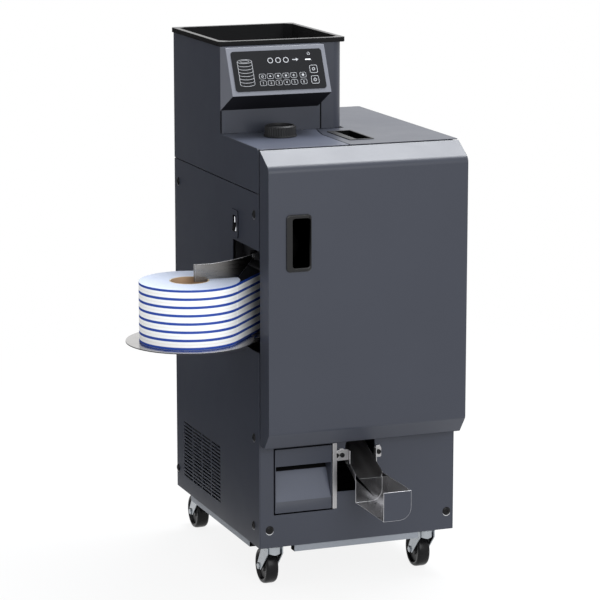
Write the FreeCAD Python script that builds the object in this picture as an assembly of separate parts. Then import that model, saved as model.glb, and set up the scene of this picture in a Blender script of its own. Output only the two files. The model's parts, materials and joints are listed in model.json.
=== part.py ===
import FreeCAD, Part
import math
import os

# Free-standing coin wrapping machine, in millimetres.
# The model is drawn with X to the right, the front towards -Y and Z up from the floor,
# with X = 0 and Y = 0 in the middle of the cabinet. The last section moves every piece so
# that the origin lies on the floor, under the middle of the whole machine.

# Driving dimensions of the cabinet
width = 430.0
depth = 530.0
sheet = 2.0
caster_height = 98.0
upper_side_height = 91.0
tower_rise = 180.0
tower_seam_from_left = 221.0
tower_width = 270.5
tower_depth = 302.5
seam = 2.0
post_flange = 25.0
post_leg = 15.0
screw_washer = 9.0
screw_head = 5.5
screw_rise = 2.2
screw_socket = 5.0
seam_screws = ((27.0, 44.0), (505.0, 48.0))
side_screws = ((31.0, 228.0), (35.0, 42.0), (522.0, 42.0))
end_screws = ((22.0, 38.0), (415.0, 39.0))
back_screw_drop = 43.0
rail_size = 10.0
rail_width = 20.0
rail_inset = 3.0
rail_back_gap = 85.0
rail_drop = 14.0
pan_thickness = 3.0
pan_flange = 22.0

# Paper opening, switch and vents in the left side
mouth_depth = 156.0
mouth_low = 408.0
mouth_height = 209.0
mouth_radius = 3.0
switch_from_front = 139.0
switch_rise = 34.5
split_rise = 80.5
switch_bezel_size = (38.0, 57.0)
switch_rim = 4.0
rocker_size = (20.0, 33.0)
vent_from_back = 49.0
vent_low = 35.0
vent_rows = 16
vent_columns = 4
vent_pitch = 7.85
vent_slot = (57.0, 4.0)
vent_bridge = 4.0
back_vent_rows = 8
back_vent_rise = 192.0

# Door
door_depth = 57.5
door_gap = 6.0
door_top_drop = 30.0
door_top_run = 51.5
door_lip_low = 217.5
door_lip_bend = 252.0
door_lip_run = 27.0
door_bend = 16.0
handle_from_left = 63.5
handle_drop = 183.5
handle_bezel = (53.0, 115.0)
handle_pocket = (35.5, 99.0)
handle_pocket_shift = 4.75
handle_proud = 3.0
handle_pocket_depth = 26.0
hinge_inset = 12.0
hinge_stand_off = 18.0
hinge_rise = 88.0
hinge_drop = 53.0
stiffener_height = 24.0
stiffener_steps = (-79.5, 100.5)
door_swing = 110.0

# Lid, deck and knob
lid_seam_from_left = 194.0
lid_relief = 17.5
lid_relief_margin = 4.0
lid_pull_from_seam = 21.0
lid_pull_from_front = 50.0
lid_pull_size = (54.0, 130.0)
lid_pull_depth = 13.0
lid_pull_wall = 3.0
lid_pull_lip = 12.0
lid_axis_drop = 7.0
lid_axis_inset = 6.0
lid_swing = 95.0
knob_from_left = 104.5
knob_from_front = 156.0
knob_radius = 32.0
knob_skirt = 34.0
knob_height = 23.0
knob_ribs = 36
knob_rib_depth = 1.2
knob_crown = 2.5
knob_rim = 7.0

# Hopper and console
rim_overhang = 4.0
rim_height = 10.0
hopper_inset = 7.0
hopper_corner = 16.0
funnel_wall = 2.0
funnel_drop = 73.0
disc_radius = 93.0
ring_height = 20.0
ring_clearance = 4.0
disc_centre_from_left = 135.0
disc_centre_from_back = 153.0
console_width = 215.0
console_top_run = 32.5
console_nose_run = 76.5
console_nose_drop = 94.0
console_height = 132.0
overlay_border = 9.0
overlay_radius = 6.0
key_size = 14.6
key_from_left = 69.7
key_pitch = 17.0
key_columns = 5
last_key_from_left = 158.0
key_runs = (25.0, 39.5)
big_key_size = 17.8
big_key_from_left = 183.0
big_key_runs = (28.0, 51.0)
lamp_place = (174.0, 72.0)
lamp_size = (11.8, 2.6)

# Lower front: reject box and chute
front_panel_height = 250.0
reject_from_left = 31.0
reject_size = (130.0, 140.0)
reject_low = 68.0
reject_depth = 205.0
reject_play = 3.0
reject_travel = 180.0
chute_from_left = 221.5
chute_radius = 30.0
chute_side = 5.0
chute_wall = 1.5
chute_fall = 24.0
chute_rim_height = 171.5
chute_hole_left = 53.0
divider_width = 9.0
divider_heights = (70.0, 208.0)
tab_rise = 21.0
tab_reach = 45.0
tab_bolts = (-42.0, 38.5)
tab_bolt_radius = 4.5
lug_offset = 2.5
ear_depth = 14.0
tray_reach = (47.0, 197.0)
tray_width = 60.0
tray_floor = 90.5
tray_height = 60.0
tray_round = 26.0

# Paper reel beside the cabinet
reel_from_left = -121.0
reel_from_front = 75.0
reel_disc_radius = 129.5
reel_disc_rise = 21.5
reel_disc_thickness = 2.0
paper_radius = 102.0
paper_width = 122.0
core_radius = 40.5
core_bore = 38.0
spindle_radius = 8.0
web_thickness = 0.5
web_angle = 49.0
hold_arm_height = 32.0
hold_axis_rise = 41.5
hold_axis_from_left = 19.0

# Wrapping station
stack_from_front = 115.0
coin_radius = 15.0
roller_radius = 14.0
roller_distance = 30.0
journal_radius = 4.0
guide_radius = 10.0
feed_radius = 10.0
feed_from_stack = 92.0
web_line_from_stack = -3.0
shelf = 4.0
shelf_from_left = 34.0
shelf_rise = 14.0
paper_headroom = 6.5
plate_from_front = 173.0
plate_thickness = 3.0
plate_skirt = 36.0
plate_gap = 3.0
track_drop = 33.0
track_plate = 6.0
pulley_radius = 8.0
belt_thickness = 1.5
belt_width = 5.0
motor_radius = 30.0
crimp_travel = 8.0
arm_swing = 25.0

# Electronics
supply_size = (115.0, 160.0, 50.0)
supply_from_right = 40.0
supply_from_back = 50.0
board_size = (180.0, 190.0)
board_front = -60.0
board_rise = 28.0
board_stand_off = 16.4

# Casters
wheel_radius = 37.5
wheel_width = 27.0
caster_inset = 45.0
caster_trail = 35.0
caster_plate = (62.0, 44.0, 3.0)
axle_radius = 5.0
fork_wall = 3.0

# Clearances
running = 0.05
gap = 0.3

# Heights worked out from the driving dimensions, above the cabinet's bottom
mouth_high = mouth_low + mouth_height
switch_height = mouth_high + switch_rise
split_height = switch_height + split_rise
deck_height = split_height + upper_side_height
tower_height = deck_height + tower_rise
funnel_break = tower_height - funnel_drop
console_nose_height = tower_height - console_nose_drop
console_foot = tower_height - console_height
track_low = deck_height - track_drop
handle_height = deck_height - handle_drop
hinge_heights = (door_lip_bend + hinge_rise, deck_height - hinge_drop)
stiffener_heights = [door_lip_bend + 2 * stiffener_height]
stiffener_heights += [handle_height + step for step in stiffener_steps]
reel_disc_low = mouth_low + reel_disc_rise
paper_low = reel_disc_low + reel_disc_thickness
paper_high = paper_low + paper_width
shelf_low = mouth_low + shelf_rise
shelf_high = paper_high + paper_headroom
plate_low = mouth_low - plate_skirt
plate_high = track_low - plate_gap
tray_top = tray_floor + tray_height
chute_reach = tray_reach[0]

# Places worked out from the driving dimensions
left = -width / 2
right = width / 2
front = -depth / 2
back = depth / 2
tower_x = left + tower_width
tower_y = back - tower_depth
tower_corner = 22.0
seam_x = left + lid_seam_from_left
relief_y = tower_y - console_nose_run - lid_relief_margin
chute_x = left + chute_from_left
stack = (chute_x, front + stack_from_front)
plate_y = front + plate_from_front
disc_centre = (left + disc_centre_from_left, back - disc_centre_from_back)
reel = (left + reel_from_left, front + reel_from_front)
knob = (left + knob_from_left, front + knob_from_front)
switch_y = front + switch_from_front
door_face = front - door_depth
door_back = front - door_gap
door_axis = (right - hinge_inset, front - hinge_stand_off)
hold_axis = (left + hold_axis_from_left, paper_high + hold_axis_rise)
web_line = stack[1] + web_line_from_stack
feed_x = stack[0] - feed_from_stack


def up(height):
    """Height above the floor of a height above the cabinet's bottom."""
    return caster_height + height


lid_axis = (right - lid_axis_inset, up(deck_height - sheet - lid_axis_drop))

# Shape helpers

PLANES = {
    "x": lambda u, v, w: FreeCAD.Vector(w, u, v),
    "y": lambda u, v, w: FreeCAD.Vector(u, w, v),
    "z": lambda u, v, w: FreeCAD.Vector(u, v, w),
}
DIRECTIONS = {
    "x": FreeCAD.Vector(1, 0, 0),
    "y": FreeCAD.Vector(0, 1, 0),
    "z": FreeCAD.Vector(0, 0, 1),
}


def box(x, y, z):
    """A block between two X values, two Y values and two Z values."""
    size = [abs(pair[1] - pair[0]) for pair in (x, y, z)]
    return Part.makeBox(*size, FreeCAD.Vector(min(x), min(y), min(z)))


def about(middle, half):
    """The two ends of a span by its middle and half its length."""
    return (middle - half, middle + half)


def rod(radius, axis, centre, low, high):
    """A cylinder along an axis; centre holds its other two coordinates."""
    start = PLANES[axis](centre[0], centre[1], min(low, high))
    return Part.makeCylinder(radius, abs(high - low), start, DIRECTIONS[axis])


def pipe(outer, inner, axis, centre, low, high):
    """A round tube along an axis."""
    return rod(outer, axis, centre, low, high).cut(rod(inner, axis, centre, low, high))


def wire(points, axis, at):
    """A closed outline; a third number on a point rounds that corner."""
    place = PLANES[axis]
    corners = []
    for index, point in enumerate(points):
        here = FreeCAD.Vector(point[0], point[1], 0)
        before = FreeCAD.Vector(points[index - 1][0], points[index - 1][1], 0)
        after = points[(index + 1) % len(points)]
        after = FreeCAD.Vector(after[0], after[1], 0)
        radius = point[2] if len(point) > 2 else 0
        if radius == 0:
            corners.append((here, None, here))
            continue
        to_before = (before - here).normalize()
        to_after = (after - here).normalize()
        half = to_before.getAngle(to_after) / 2
        inward = (to_before + to_after).normalize()
        cut_back = radius / math.tan(half)
        middle = here + inward * (radius / math.sin(half) - radius)
        corners.append((here + to_before * cut_back, middle, here + to_after * cut_back))
    edges = []
    for index, (arrive, middle, leave) in enumerate(corners):
        target = corners[(index + 1) % len(corners)][0]
        ends = [place(p.x, p.y, at) for p in (arrive, leave, target)]
        if middle is not None:
            edges.append(Part.Arc(ends[0], place(middle.x, middle.y, at), ends[1]).toShape())
        if (ends[2] - ends[1]).Length > 1e-6:
            edges.append(Part.LineSegment(ends[1], ends[2]).toShape())
    return Part.Wire(edges)


def prism(points, axis, low, high):
    """An outline drawn square to an axis and drawn out along it."""
    face = Part.Face(wire(points, axis, min(low, high)))
    return face.extrude(DIRECTIONS[axis] * abs(high - low))


def rectangle(u, v, radius=0.0):
    """Corner points of a rectangle between two pairs, with rounded corners."""
    return [(u[0], v[0], radius), (u[1], v[0], radius), (u[1], v[1], radius), (u[0], v[1], radius)]


def join(*shapes):
    """One solid, or one group, from several shapes."""
    return shapes[0].fuse(list(shapes[1:])).removeSplitter()


def cut(shape, *tools):
    """A shape with others taken away."""
    return shape.cut(list(tools))


def group(shapes):
    """Separate solids kept as one sub-part."""
    return Part.makeCompound(list(shapes))


def lathe(points, axis, centre):
    """A turned body from (radius, height) points about an upright axis."""
    outline = [FreeCAD.Vector(r, 0, z) for r, z in points]
    edges = Part.makePolygon(outline + [outline[0]])
    body = Part.Face(edges).revolve(FreeCAD.Vector(0, 0, 0), FreeCAD.Vector(0, 0, 1), 360)
    if axis == "x":
        body.rotate(FreeCAD.Vector(0, 0, 0), FreeCAD.Vector(0, 1, 0), 90)
    body.translate(FreeCAD.Vector(*centre))
    return body


# Frame and panels


def post(x, y, high, low=0.0):
    """An upright angle in a corner, with its wide flange across the front or back."""
    toward_x = math.copysign(1.0, -x)
    toward_y = math.copysign(1.0, -y)
    flange = box((x, x + toward_x * post_flange), (y, y + toward_y * sheet), (up(low), up(high)))
    leg = box((x, x + toward_x * sheet), (y, y + toward_y * post_leg), (up(low), up(high)))
    return flange.fuse(leg)


def cabinet_frame():
    """Base pan, posts, side rails, header, reject shelf and the rails between the casters."""
    x_in = right - sheet
    y_in = back - sheet
    pan_top = up(pan_thickness)
    pan = box((-x_in, x_in), (-y_in, y_in), (up(0), up(pan_flange)))
    inner = (x_in - sheet, y_in - sheet)
    pan = cut(pan, box((-inner[0], inner[0]), (-inner[1], inner[1]), (pan_top, up(pan_flange))))
    pieces = [pan]
    low_post = deck_height - sheet
    pieces.append(post(-x_in, -y_in, mouth_low))
    pieces.append(post(-x_in, -y_in, low_post - sheet * 4, mouth_high))
    pieces.append(post(x_in, -y_in, low_post - sheet * 4))
    pieces.append(post(x_in, y_in, low_post - sheet * 4))
    pieces.append(post(-x_in, y_in, tower_height - sheet))
    for side in (-1, 1):
        for low in (mouth_low - 28.0, split_height - 30.0):
            bar_x = (side * x_in, side * (x_in - rail_size))
            pieces.append(box(bar_x, (-y_in, y_in), (up(low), up(low + 18.0))))
    header = (up(low_post - 12.0), up(low_post))
    pieces.append(box((-x_in, seam_x - seam), (-y_in, -y_in + rail_size), header))
    lower_header = (up(low_post - 30.0), up(low_post - 12.0))
    pieces.append(box((-x_in, x_in), (-y_in, -y_in + rail_size), lower_header))
    ledge = (up(track_low - 18.0), up(track_low))
    pieces.append(box((-x_in, -x_in + rail_size), (tower_y, y_in), ledge))
    pieces.append(box((-x_in, x_in), (y_in - rail_size, y_in), ledge))
    pieces.append(reject_shelf())
    rail_z = (up(-rail_drop), up(0))
    side_span = (front + caster_inset + caster_plate[1] / 2 + 1.0, back - rail_back_gap)
    cross_end = right - caster_inset - caster_plate[0] / 2 - 1.0
    for side in (-1, 1):
        outer = side * (right - rail_inset)
        pieces.append(box((outer, outer - side * rail_width), side_span, rail_z))
        outer = side * (back - rail_inset)
        pieces.append(box((-cross_end, cross_end), (outer, outer - side * rail_width), rail_z))
    return join(*pieces)


def reject_shelf():
    """A bridge inside the front on which the reject box slides."""
    x = (left + reject_from_left - 6.0, left + reject_from_left + reject_size[0] - 4.0)
    y = (front + 10.0, front + reject_depth + 8.0)
    top = up(reject_low + reject_play - gap)
    body = box(x, y, (up(pan_thickness), top))
    tunnel = box((x[0] + sheet, x[1] - sheet), y, (up(pan_thickness), top - sheet))
    return cut(body, tunnel)


def screw_places():
    """Every cup-washer screw: the face's axis, its side and the place on it."""
    spots = [(from_front, split_height - drop) for from_front, drop in seam_screws]
    places = []
    for from_front, height in spots + list(side_screws):
        places.append(("x", left, front + from_front, height))
        places.append(("x", right, front + from_front, height))
    for from_left, height in end_screws:
        places.append(("y", front, left + from_left, height))
        places.append(("y", back, left + from_left, height))
        places.append(("y", back, left + from_left, deck_height - back_screw_drop))
    return places


def screw_shape():
    """One screw on an upright axis: a cup washer drawn up to a flat head with a hexagonal socket."""
    cup = Part.makeCone(screw_washer, screw_head, screw_rise)
    flats = []
    for index in range(6):
        angle = math.radians(60 * index)
        flats.append((screw_socket / 2 * math.cos(angle), screw_socket / 2 * math.sin(angle)))
    return cut(cup, prism(flats, "z", screw_rise / 2, screw_rise + 1.0))


def panel_screws():
    """Black cup washers with socket screws, seated on the panels."""
    pieces = []
    for axis, at, across, height in screw_places():
        screw = screw_shape()
        outward = DIRECTIONS[axis] * math.copysign(1.0, at)
        turn = FreeCAD.Rotation(DIRECTIONS["z"], outward)
        screw.Placement = FreeCAD.Placement(PLANES[axis](across, up(height), at), turn)
        pieces.append(screw)
    return group(pieces)


def vent_cuts(axis, at, start, low, rows, columns):
    """A block of slots through a panel, in rows and columns."""
    cuts = []
    for row in range(rows):
        z = up(low + row * vent_pitch)
        for column in range(columns):
            u = start + column * (vent_slot[0] + vent_bridge)
            slot_u = (u, u + vent_slot[0])
            slot_z = (z, z + vent_slot[1])
            if axis == "x":
                cuts.append(box((at - 2 * sheet, at + 2 * sheet), slot_u, slot_z))
            else:
                cuts.append(box(slot_u, (at - 2 * sheet, at + 2 * sheet), slot_z))
    return cuts


def vent_span():
    """Front end of the side vents."""
    length = vent_columns * vent_slot[0] + (vent_columns - 1) * vent_bridge
    return back - vent_from_back - length


def left_panel():
    """Lower left side with the paper opening, the switch hole and the vents."""
    panel = box((left, left + sheet), (front, back), (up(0), up(split_height - seam / 2)))
    mouth_back = front + mouth_depth
    points = [
        (front - 1.0, up(mouth_low)),
        (mouth_back, up(mouth_low), mouth_radius),
        (mouth_back, up(mouth_high), mouth_radius),
        (front - 1.0, up(mouth_high)),
    ]
    mouth = prism(points, "x", left - 1.0, left + sheet + 1.0)
    hole_y = about(switch_y, switch_bezel_size[0] / 2 - switch_rim)
    hole_z = about(up(switch_height), switch_bezel_size[1] / 2 - switch_rim)
    hole = box((left - 1.0, left + 3.0), hole_y, hole_z)
    slots = vent_cuts("x", left, vent_span(), vent_low, vent_rows, vent_columns)
    return cut(panel, mouth, hole, *slots)


def upper_left_panel():
    """Stepped upper left side: the cabinet's top corner and the tower's side."""
    low = up(split_height + seam / 2)
    points = [
        (front, low),
        (back, low),
        (back, up(tower_height)),
        (tower_y, up(tower_height)),
        (tower_y, up(deck_height), 4.0),
        (front, up(deck_height), 10.0),
    ]
    return prism(points, "x", left, left + sheet)


def right_panel():
    """Plain right side, stopping under the lid, notched for the lid's ears."""
    top = lid_axis[1] + lid_axis_drop - 4.0
    panel = box((right - sheet, right), (front, back), (up(0), top))
    notches = []
    for y in lid_ears():
        notches.append(box((right - 3.0, right + 1.0), (y - 1.0, y + 5.0), (lid_axis[1] - 10.0, top + 1.0)))
    return cut(panel, *notches)


def back_panel():
    """Back sheet of the cabinet and the tower, with vents and the inlet's hole."""
    x = (left + sheet, right - sheet)
    top = up(deck_height - sheet) - seam
    points = [
        (x[0], up(0)),
        (x[1], up(0)),
        (x[1], top),
        (tower_x - sheet, top),
        (tower_x - sheet, up(tower_height)),
        (x[0], up(tower_height)),
    ]
    panel = prism(points, "y", back - sheet, back)
    slots = vent_cuts("y", back, left + 60.0, mouth_low + back_vent_rise, back_vent_rows, 2)
    return cut(panel, inlet_body(1.0), *slots)


def top_deck():
    """Top sheet left of the lid, with the knob's hole and a turned-down seam edge."""
    z = (up(deck_height - sheet), up(deck_height))
    side = seam_x - seam
    points = [
        (left + sheet, front - 3.0),
        (side, front - 3.0),
        (side, relief_y),
        (side + lid_relief, tower_y),
        (left + sheet, tower_y),
    ]
    deck = prism(points, "z", *z)
    edge = box((side - sheet, side), (front + 20.0, relief_y), (z[0] - 8.0, z[0]))
    hole = rod(journal_radius + running, "z", knob, z[0] - 1.0, z[1] + 1.0)
    return cut(join(deck, edge), hole)


def tower_front():
    """Flat front sheet of the tower behind the console."""
    x = (left + sheet, left + tower_seam_from_left)
    return box(x, (tower_y, tower_y + sheet), (up(deck_height), up(tower_height)))


def tower_shell():
    """Right column of the tower, with a rounded upright corner, and its right side."""
    start = left + tower_seam_from_left + gap
    outer = [
        (start, tower_y),
        (tower_x, tower_y, tower_corner),
        (tower_x, back),
        (tower_x - sheet, back),
        (tower_x - sheet, tower_y + sheet, tower_corner - sheet),
        (start, tower_y + sheet),
    ]
    return prism(outer, "z", up(deck_height), up(tower_height))


# Hopper and console


def cut_rectangle(x, y, corner, z):
    """The eight points of a rectangle with its corners cut off, from the right side round."""
    spots = [
        (x[1], y[1] - corner), (x[1] - corner, y[1]), (x[0] + corner, y[1]), (x[0], y[1] - corner),
        (x[0], y[0] + corner), (x[0] + corner, y[0]), (x[1] - corner, y[0]), (x[1], y[0] + corner),
    ]
    return [FreeCAD.Vector(u, v, z) for u, v in spots]


def octagon(radius, z):
    """The eight points of a regular octagon about the disc, from the right side round."""
    points = []
    for index in range(8):
        angle = math.radians(22.5 + 45.0 * index)
        x = disc_centre[0] + radius * math.cos(angle)
        y = disc_centre[1] + radius * math.sin(angle)
        points.append(FreeCAD.Vector(x, y, z))
    return points


def folded(top, low):
    """A solid with flat sides between two level outlines of as many points."""
    outlines = [top, low]
    for index in range(len(top)):
        after = (index + 1) % len(top)
        outlines.append([top[index], top[after], low[after], low[index]])
    faces = [Part.Face(Part.makePolygon(points + [points[0]])) for points in outlines]
    return Part.Solid(Part.Shell(faces))


def hopper():
    """Coin hopper: a wide rim on the tower, upright walls and a folded funnel onto the disc."""
    rim_x = (left - rim_overhang, tower_x + rim_overhang)
    rim_y = (tower_y - rim_overhang, back + rim_overhang)
    rim_z = (up(tower_height), up(tower_height + rim_height))
    rim = prism(rectangle(rim_x, rim_y, hopper_corner / 2), "z", *rim_z)
    outlet = up(track_low + track_plate + ring_height)

    def body(grow, high):
        x = (left + hopper_inset - grow, tower_x - hopper_inset + grow)
        y = (tower_y + hopper_inset - grow, back - hopper_inset + grow)
        levels = [cut_rectangle(x, y, hopper_corner, z) for z in (up(high), up(funnel_break))]
        cone = folded(levels[1], octagon(disc_radius + ring_clearance + grow, outlet))
        return folded(*levels).fuse(cone)

    outer = body(funnel_wall, tower_height + rim_height)
    inner = body(0.0, tower_height + rim_height + 1.0)
    return cut(join(rim, outer), inner)


def console_outline(inset):
    """Side profile of the console, as (Y, Z) points, drawn in by an inset."""
    face_y = tower_y
    slope_z = inset * 0.9
    return [
        (face_y, up(console_foot) + inset * 1.6),
        (face_y - console_nose_run + inset, up(console_nose_height) + slope_z),
        (face_y - console_top_run + inset, up(tower_height) - inset),
        (face_y, up(tower_height) - inset),
    ]


def console():
    """Wedge-shaped control console on the tower's front, hollow behind its sloping face."""
    x = (left, left + console_width)
    body = prism(console_outline(0.0), "x", *x)
    hollow = prism(console_outline(sheet), "x", x[0] + sheet, x[1] - sheet)
    return cut(body, hollow, overlay_block(0.0, 2 * sheet, overlay_border + 3.0))


def face_frame():
    """Nose corner of the console's sloping face, the way up it, the way out of it and its length."""
    low = FreeCAD.Vector(0, tower_y - console_nose_run, up(console_nose_height))
    high = FreeCAD.Vector(0, tower_y - console_top_run, up(tower_height))
    along = (high - low).normalize()
    return low, along, FreeCAD.Vector(0, -along.z, along.y), (high - low).Length


def face_block(x, run, radius, low, high):
    """A block on the sloping face between two X values, two runs up it and two heights over it."""
    origin, along, outward, _ = face_frame()
    slab = prism(rectangle(x, run, radius), "z", low, high)
    turn = FreeCAD.Rotation(DIRECTIONS["x"], along, outward, "XYZ")
    slab.Placement = FreeCAD.Placement(origin, turn)
    return slab


def overlay_block(rise, sink, border):
    """A block lying in the console's sloping face, inside its border."""
    _, _, _, length = face_frame()
    x = (left + border, left + console_width - border)
    return face_block(x, (border, length - border), overlay_radius, -sink, rise)


def keypad_overlay():
    """Dark key panel on the console's face, with raised key pads and an indicator bar."""
    panel = overlay_block(1.2, 0.0, overlay_border)

    def pad(x, run, size_x, size_run):
        return face_block(about(left + x, size_x / 2), about(run, size_run / 2), 0.0, 1.0, 1.6)

    columns = [key_from_left + index * key_pitch for index in range(key_columns)]
    columns.append(last_key_from_left)
    keys = [pad(x, run, key_size, key_size * 0.8) for run in key_runs for x in columns]
    keys += [pad(big_key_from_left, run, big_key_size, big_key_size) for run in big_key_runs]
    keys.append(pad(*lamp_place, *lamp_size))
    return join(panel, *keys)


# Door and lid


def door_profile(inset):
    """Side profile of the folded door, as (Y, Z, bend radius) points."""
    top = up(deck_height - sheet - gap)
    slope = door_top_run / door_top_drop
    return [
        (door_back, top - inset),
        (door_back - 1.0, top - inset),
        (door_face + inset, top - door_top_drop - inset * (1 + 0.4 / slope), door_bend + 2.0 - inset),
        (door_face + inset, up(door_lip_bend) + inset * 0.5, 10.0 - inset),
        (door_face + door_lip_run + inset, up(door_lip_low) + inset * 0.5),
        (door_back, up(door_lip_low) + inset * 0.5),
    ]


def door():
    """Folded sheet door: slanting top, flat face, turned-in lip, side returns and hinge ears."""
    shell = prism(door_profile(0.0), "x", left, right)
    hollow = prism(door_profile(sheet), "x", left + sheet, right - sheet)
    inside_x = (left + sheet, right - sheet)
    open_back = box(inside_x, (door_back - 24.0, door_back + 1.0), (up(0), up(door_lip_low + 60)))
    hole_x = about(handle_centre()[0] + handle_pocket_shift, handle_pocket[0] / 2 + 2.0)
    hole_z = about(up(handle_height), handle_pocket[1] / 2 + 2.0)
    hole = box(hole_x, (door_face - 1.0, door_face + sheet + 1.0), hole_z)
    skin = cut(shell, hollow, open_back, hole)
    pieces = [skin]
    ear_x = (door_axis[0] - 8.0, right - sheet)
    ear_y = (door_axis[1] - 7.0, door_axis[1] + 7.0)
    for height in hinge_heights:
        for side in (-1, 1):
            near = up(height) + side * (3.0 + gap)
            pieces.append(box(ear_x, ear_y, (near, near + side * 3.0)))
    for height in stiffener_heights:
        z = (up(height), up(height + stiffener_height))
        stiffener = box(inside_x, (door_face + sheet, door_face + 12.0), z)
        channel = box(inside_x, (door_face + sheet, door_face + 10.5), (z[0] + 1.5, z[1] - 1.5))
        keep_out = box((left + sheet, left + 100.0), (door_face, door_back), z)
        if height > door_lip_bend + 3 * stiffener_height:
            stiffener = stiffener.cut(keep_out)
        pieces.append(cut(stiffener, channel))
    body = join(*pieces)
    bores = [rod(3.0 + running, "z", door_axis, up(h - 8.0), up(h + 8.0)) for h in hinge_heights]
    return cut(body, *bores)


def handle_centre():
    """Middle of the door handle's bezel, as (X, Z)."""
    return (left + handle_from_left, up(handle_height))


def door_handle():
    """Recessed black pull: a bezel on the door's face and a pocket behind it."""
    x, z = handle_centre()
    proud = door_face - handle_proud
    end = door_face + handle_pocket_depth
    outline = rectangle(about(x, handle_bezel[0] / 2), about(z, handle_bezel[1] / 2), 8.0)
    bezel = prism(outline, "y", proud, door_face)
    wall = 1.5
    pocket_x = x + handle_pocket_shift
    cup_x = about(pocket_x, handle_pocket[0] / 2 + wall)
    cup_z = about(z, handle_pocket[1] / 2 + wall)
    cup = box(cup_x, (door_face, end), cup_z)
    opening = rectangle(about(pocket_x, handle_pocket[0] / 2), about(z, handle_pocket[1] / 2), 5.0)
    pocket = prism(opening, "y", proud - 1.0, end - wall)
    return cut(bezel.fuse(cup), pocket)


def pivot_brackets():
    """Cranked hinge arms for the door and pivots for the lid, with their pins."""
    pieces = []
    for height in hinge_heights:
        z = (up(height) - 3.0, up(height) + 3.0)
        arm_x = (door_axis[0] - 40.0, door_axis[0])
        arm = box(arm_x, (door_axis[1] - 5.0, door_axis[1] + 5.0), z)
        barrel = rod(5.0, "z", door_axis, *z)
        leg = box((arm_x[0], arm_x[0] + 12.0), (door_axis[1], front + sheet), z)
        foot = box((arm_x[0], right - sheet), (front, front + sheet), (z[0] - 20.0, z[1] + 20.0))
        pin = rod(3.0, "z", door_axis, z[0] - 6.0, z[1] + 6.0)
        pieces.append(join(arm, barrel, leg, foot, pin))
    for y in lid_ears():
        z = lid_axis[1]
        plate = box((right - 24.0, right - sheet), (y + 4.0 + gap, y + 8.0), (z - 24.0, z + 4.0))
        pin = rod(3.0, "y", lid_axis, y - 2.0, y + 8.0)
        pieces.append(plate.fuse(pin))
    return group(pieces)


def lid_ears():
    """Front faces of the lid's two pivot ears."""
    return (front + 45.0, back - 60.0)


def lid():
    """L-shaped top lid, relieved under the console, with turned-down edges and two pivot ears."""
    z = (up(deck_height - sheet), up(deck_height))
    x_step = tower_x + seam
    y_step = tower_y - seam
    points = [
        (seam_x, front - 3.0),
        (right, front - 3.0, 3.0),
        (right, back, 3.0),
        (x_step, back),
        (x_step, y_step),
        (seam_x + lid_relief, y_step),
        (seam_x, relief_y),
    ]
    plate = prism(points, "z", *z)
    hole_x, hole_y = lid_pull_place(lid_pull_wall)
    plate = cut(plate, box(hole_x, hole_y, (z[0] - 1.0, z[1] + 1.0)))
    edge = 8.0
    flanges = [
        box((seam_x, seam_x + sheet), (front + 20.0, relief_y), (z[0] - edge, z[0])),
        box((x_step, x_step + sheet), (y_step, back - 14.0), (z[0] - edge, z[0])),
    ]
    ears = []
    for y in lid_ears():
        axis_x, axis_z = lid_axis
        ear = box((axis_x - 12.0, axis_x + 4.0), (y, y + 4.0), (axis_z - 5.0, z[0]))
        ears.append(ear.cut(rod(3.0 + running, "y", lid_axis, y - 1.0, y + 5.0)))
    return join(plate, *flanges, *ears)


def lid_pull_place(inset=0.0):
    """X and Y spans of the flush pull in the lid, drawn in by an inset."""
    start = (seam_x + lid_pull_from_seam, front + lid_pull_from_front)
    x = (start[0] + inset, start[0] + lid_pull_size[0] - inset)
    y = (start[1] + inset, start[1] + lid_pull_size[1] - inset)
    return x, y


def lid_pull():
    """Flush black pull: a thin bezel and a shallow pocket with a finger lip."""
    top = up(deck_height)
    thin = 1.5
    bezel = prism(rectangle(*lid_pull_place(), 4.0), "z", top, top + thin)
    cup = box(*lid_pull_place(lid_pull_wall + gap), (top - lid_pull_depth, top))
    inner_x, inner_y = lid_pull_place(lid_pull_wall + thin)
    pocket = box(inner_x, inner_y, (top - lid_pull_depth + thin, top + 2.0))
    lip = box((inner_x[0], inner_x[0] + lid_pull_lip), inner_y, (top - 1.0, top + thin))
    return cut(bezel.fuse(cup), pocket).fuse(lip).removeSplitter()


def selector_knob():
    """Ribbed knob with a skirt and a dished top, on a shaft through the deck."""
    low = up(deck_height) + 0.5
    high = low + knob_height
    crown_low = high - knob_crown
    outline = []
    for index in range(knob_ribs):
        for share, depth in ((0.0, knob_rib_depth), (0.3, knob_rib_depth), (0.45, 0.0), (0.85, 0.0)):
            angle = 2 * math.pi * (index + share) / knob_ribs
            radius = knob_radius - depth
            outline.append((knob[0] + radius * math.cos(angle), knob[1] + radius * math.sin(angle)))
    body = prism(outline, "z", low, crown_low)
    crown_radii = (knob_radius - knob_rib_depth, knob_radius - knob_crown - knob_rib_depth)
    crown = Part.makeCone(*crown_radii, knob_crown, FreeCAD.Vector(knob[0], knob[1], crown_low))
    skirt = rod(knob_skirt, "z", knob, low, low + 3.0)
    dish = rod(knob_radius - knob_rim, "z", knob, crown_low - 1.0, high + 1.0)
    shaft = rod(journal_radius, "z", knob, up(deck_height - 15.0), low)
    return cut(join(body, crown, skirt, shaft), dish)


# Lower front, reject box and chute


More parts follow.
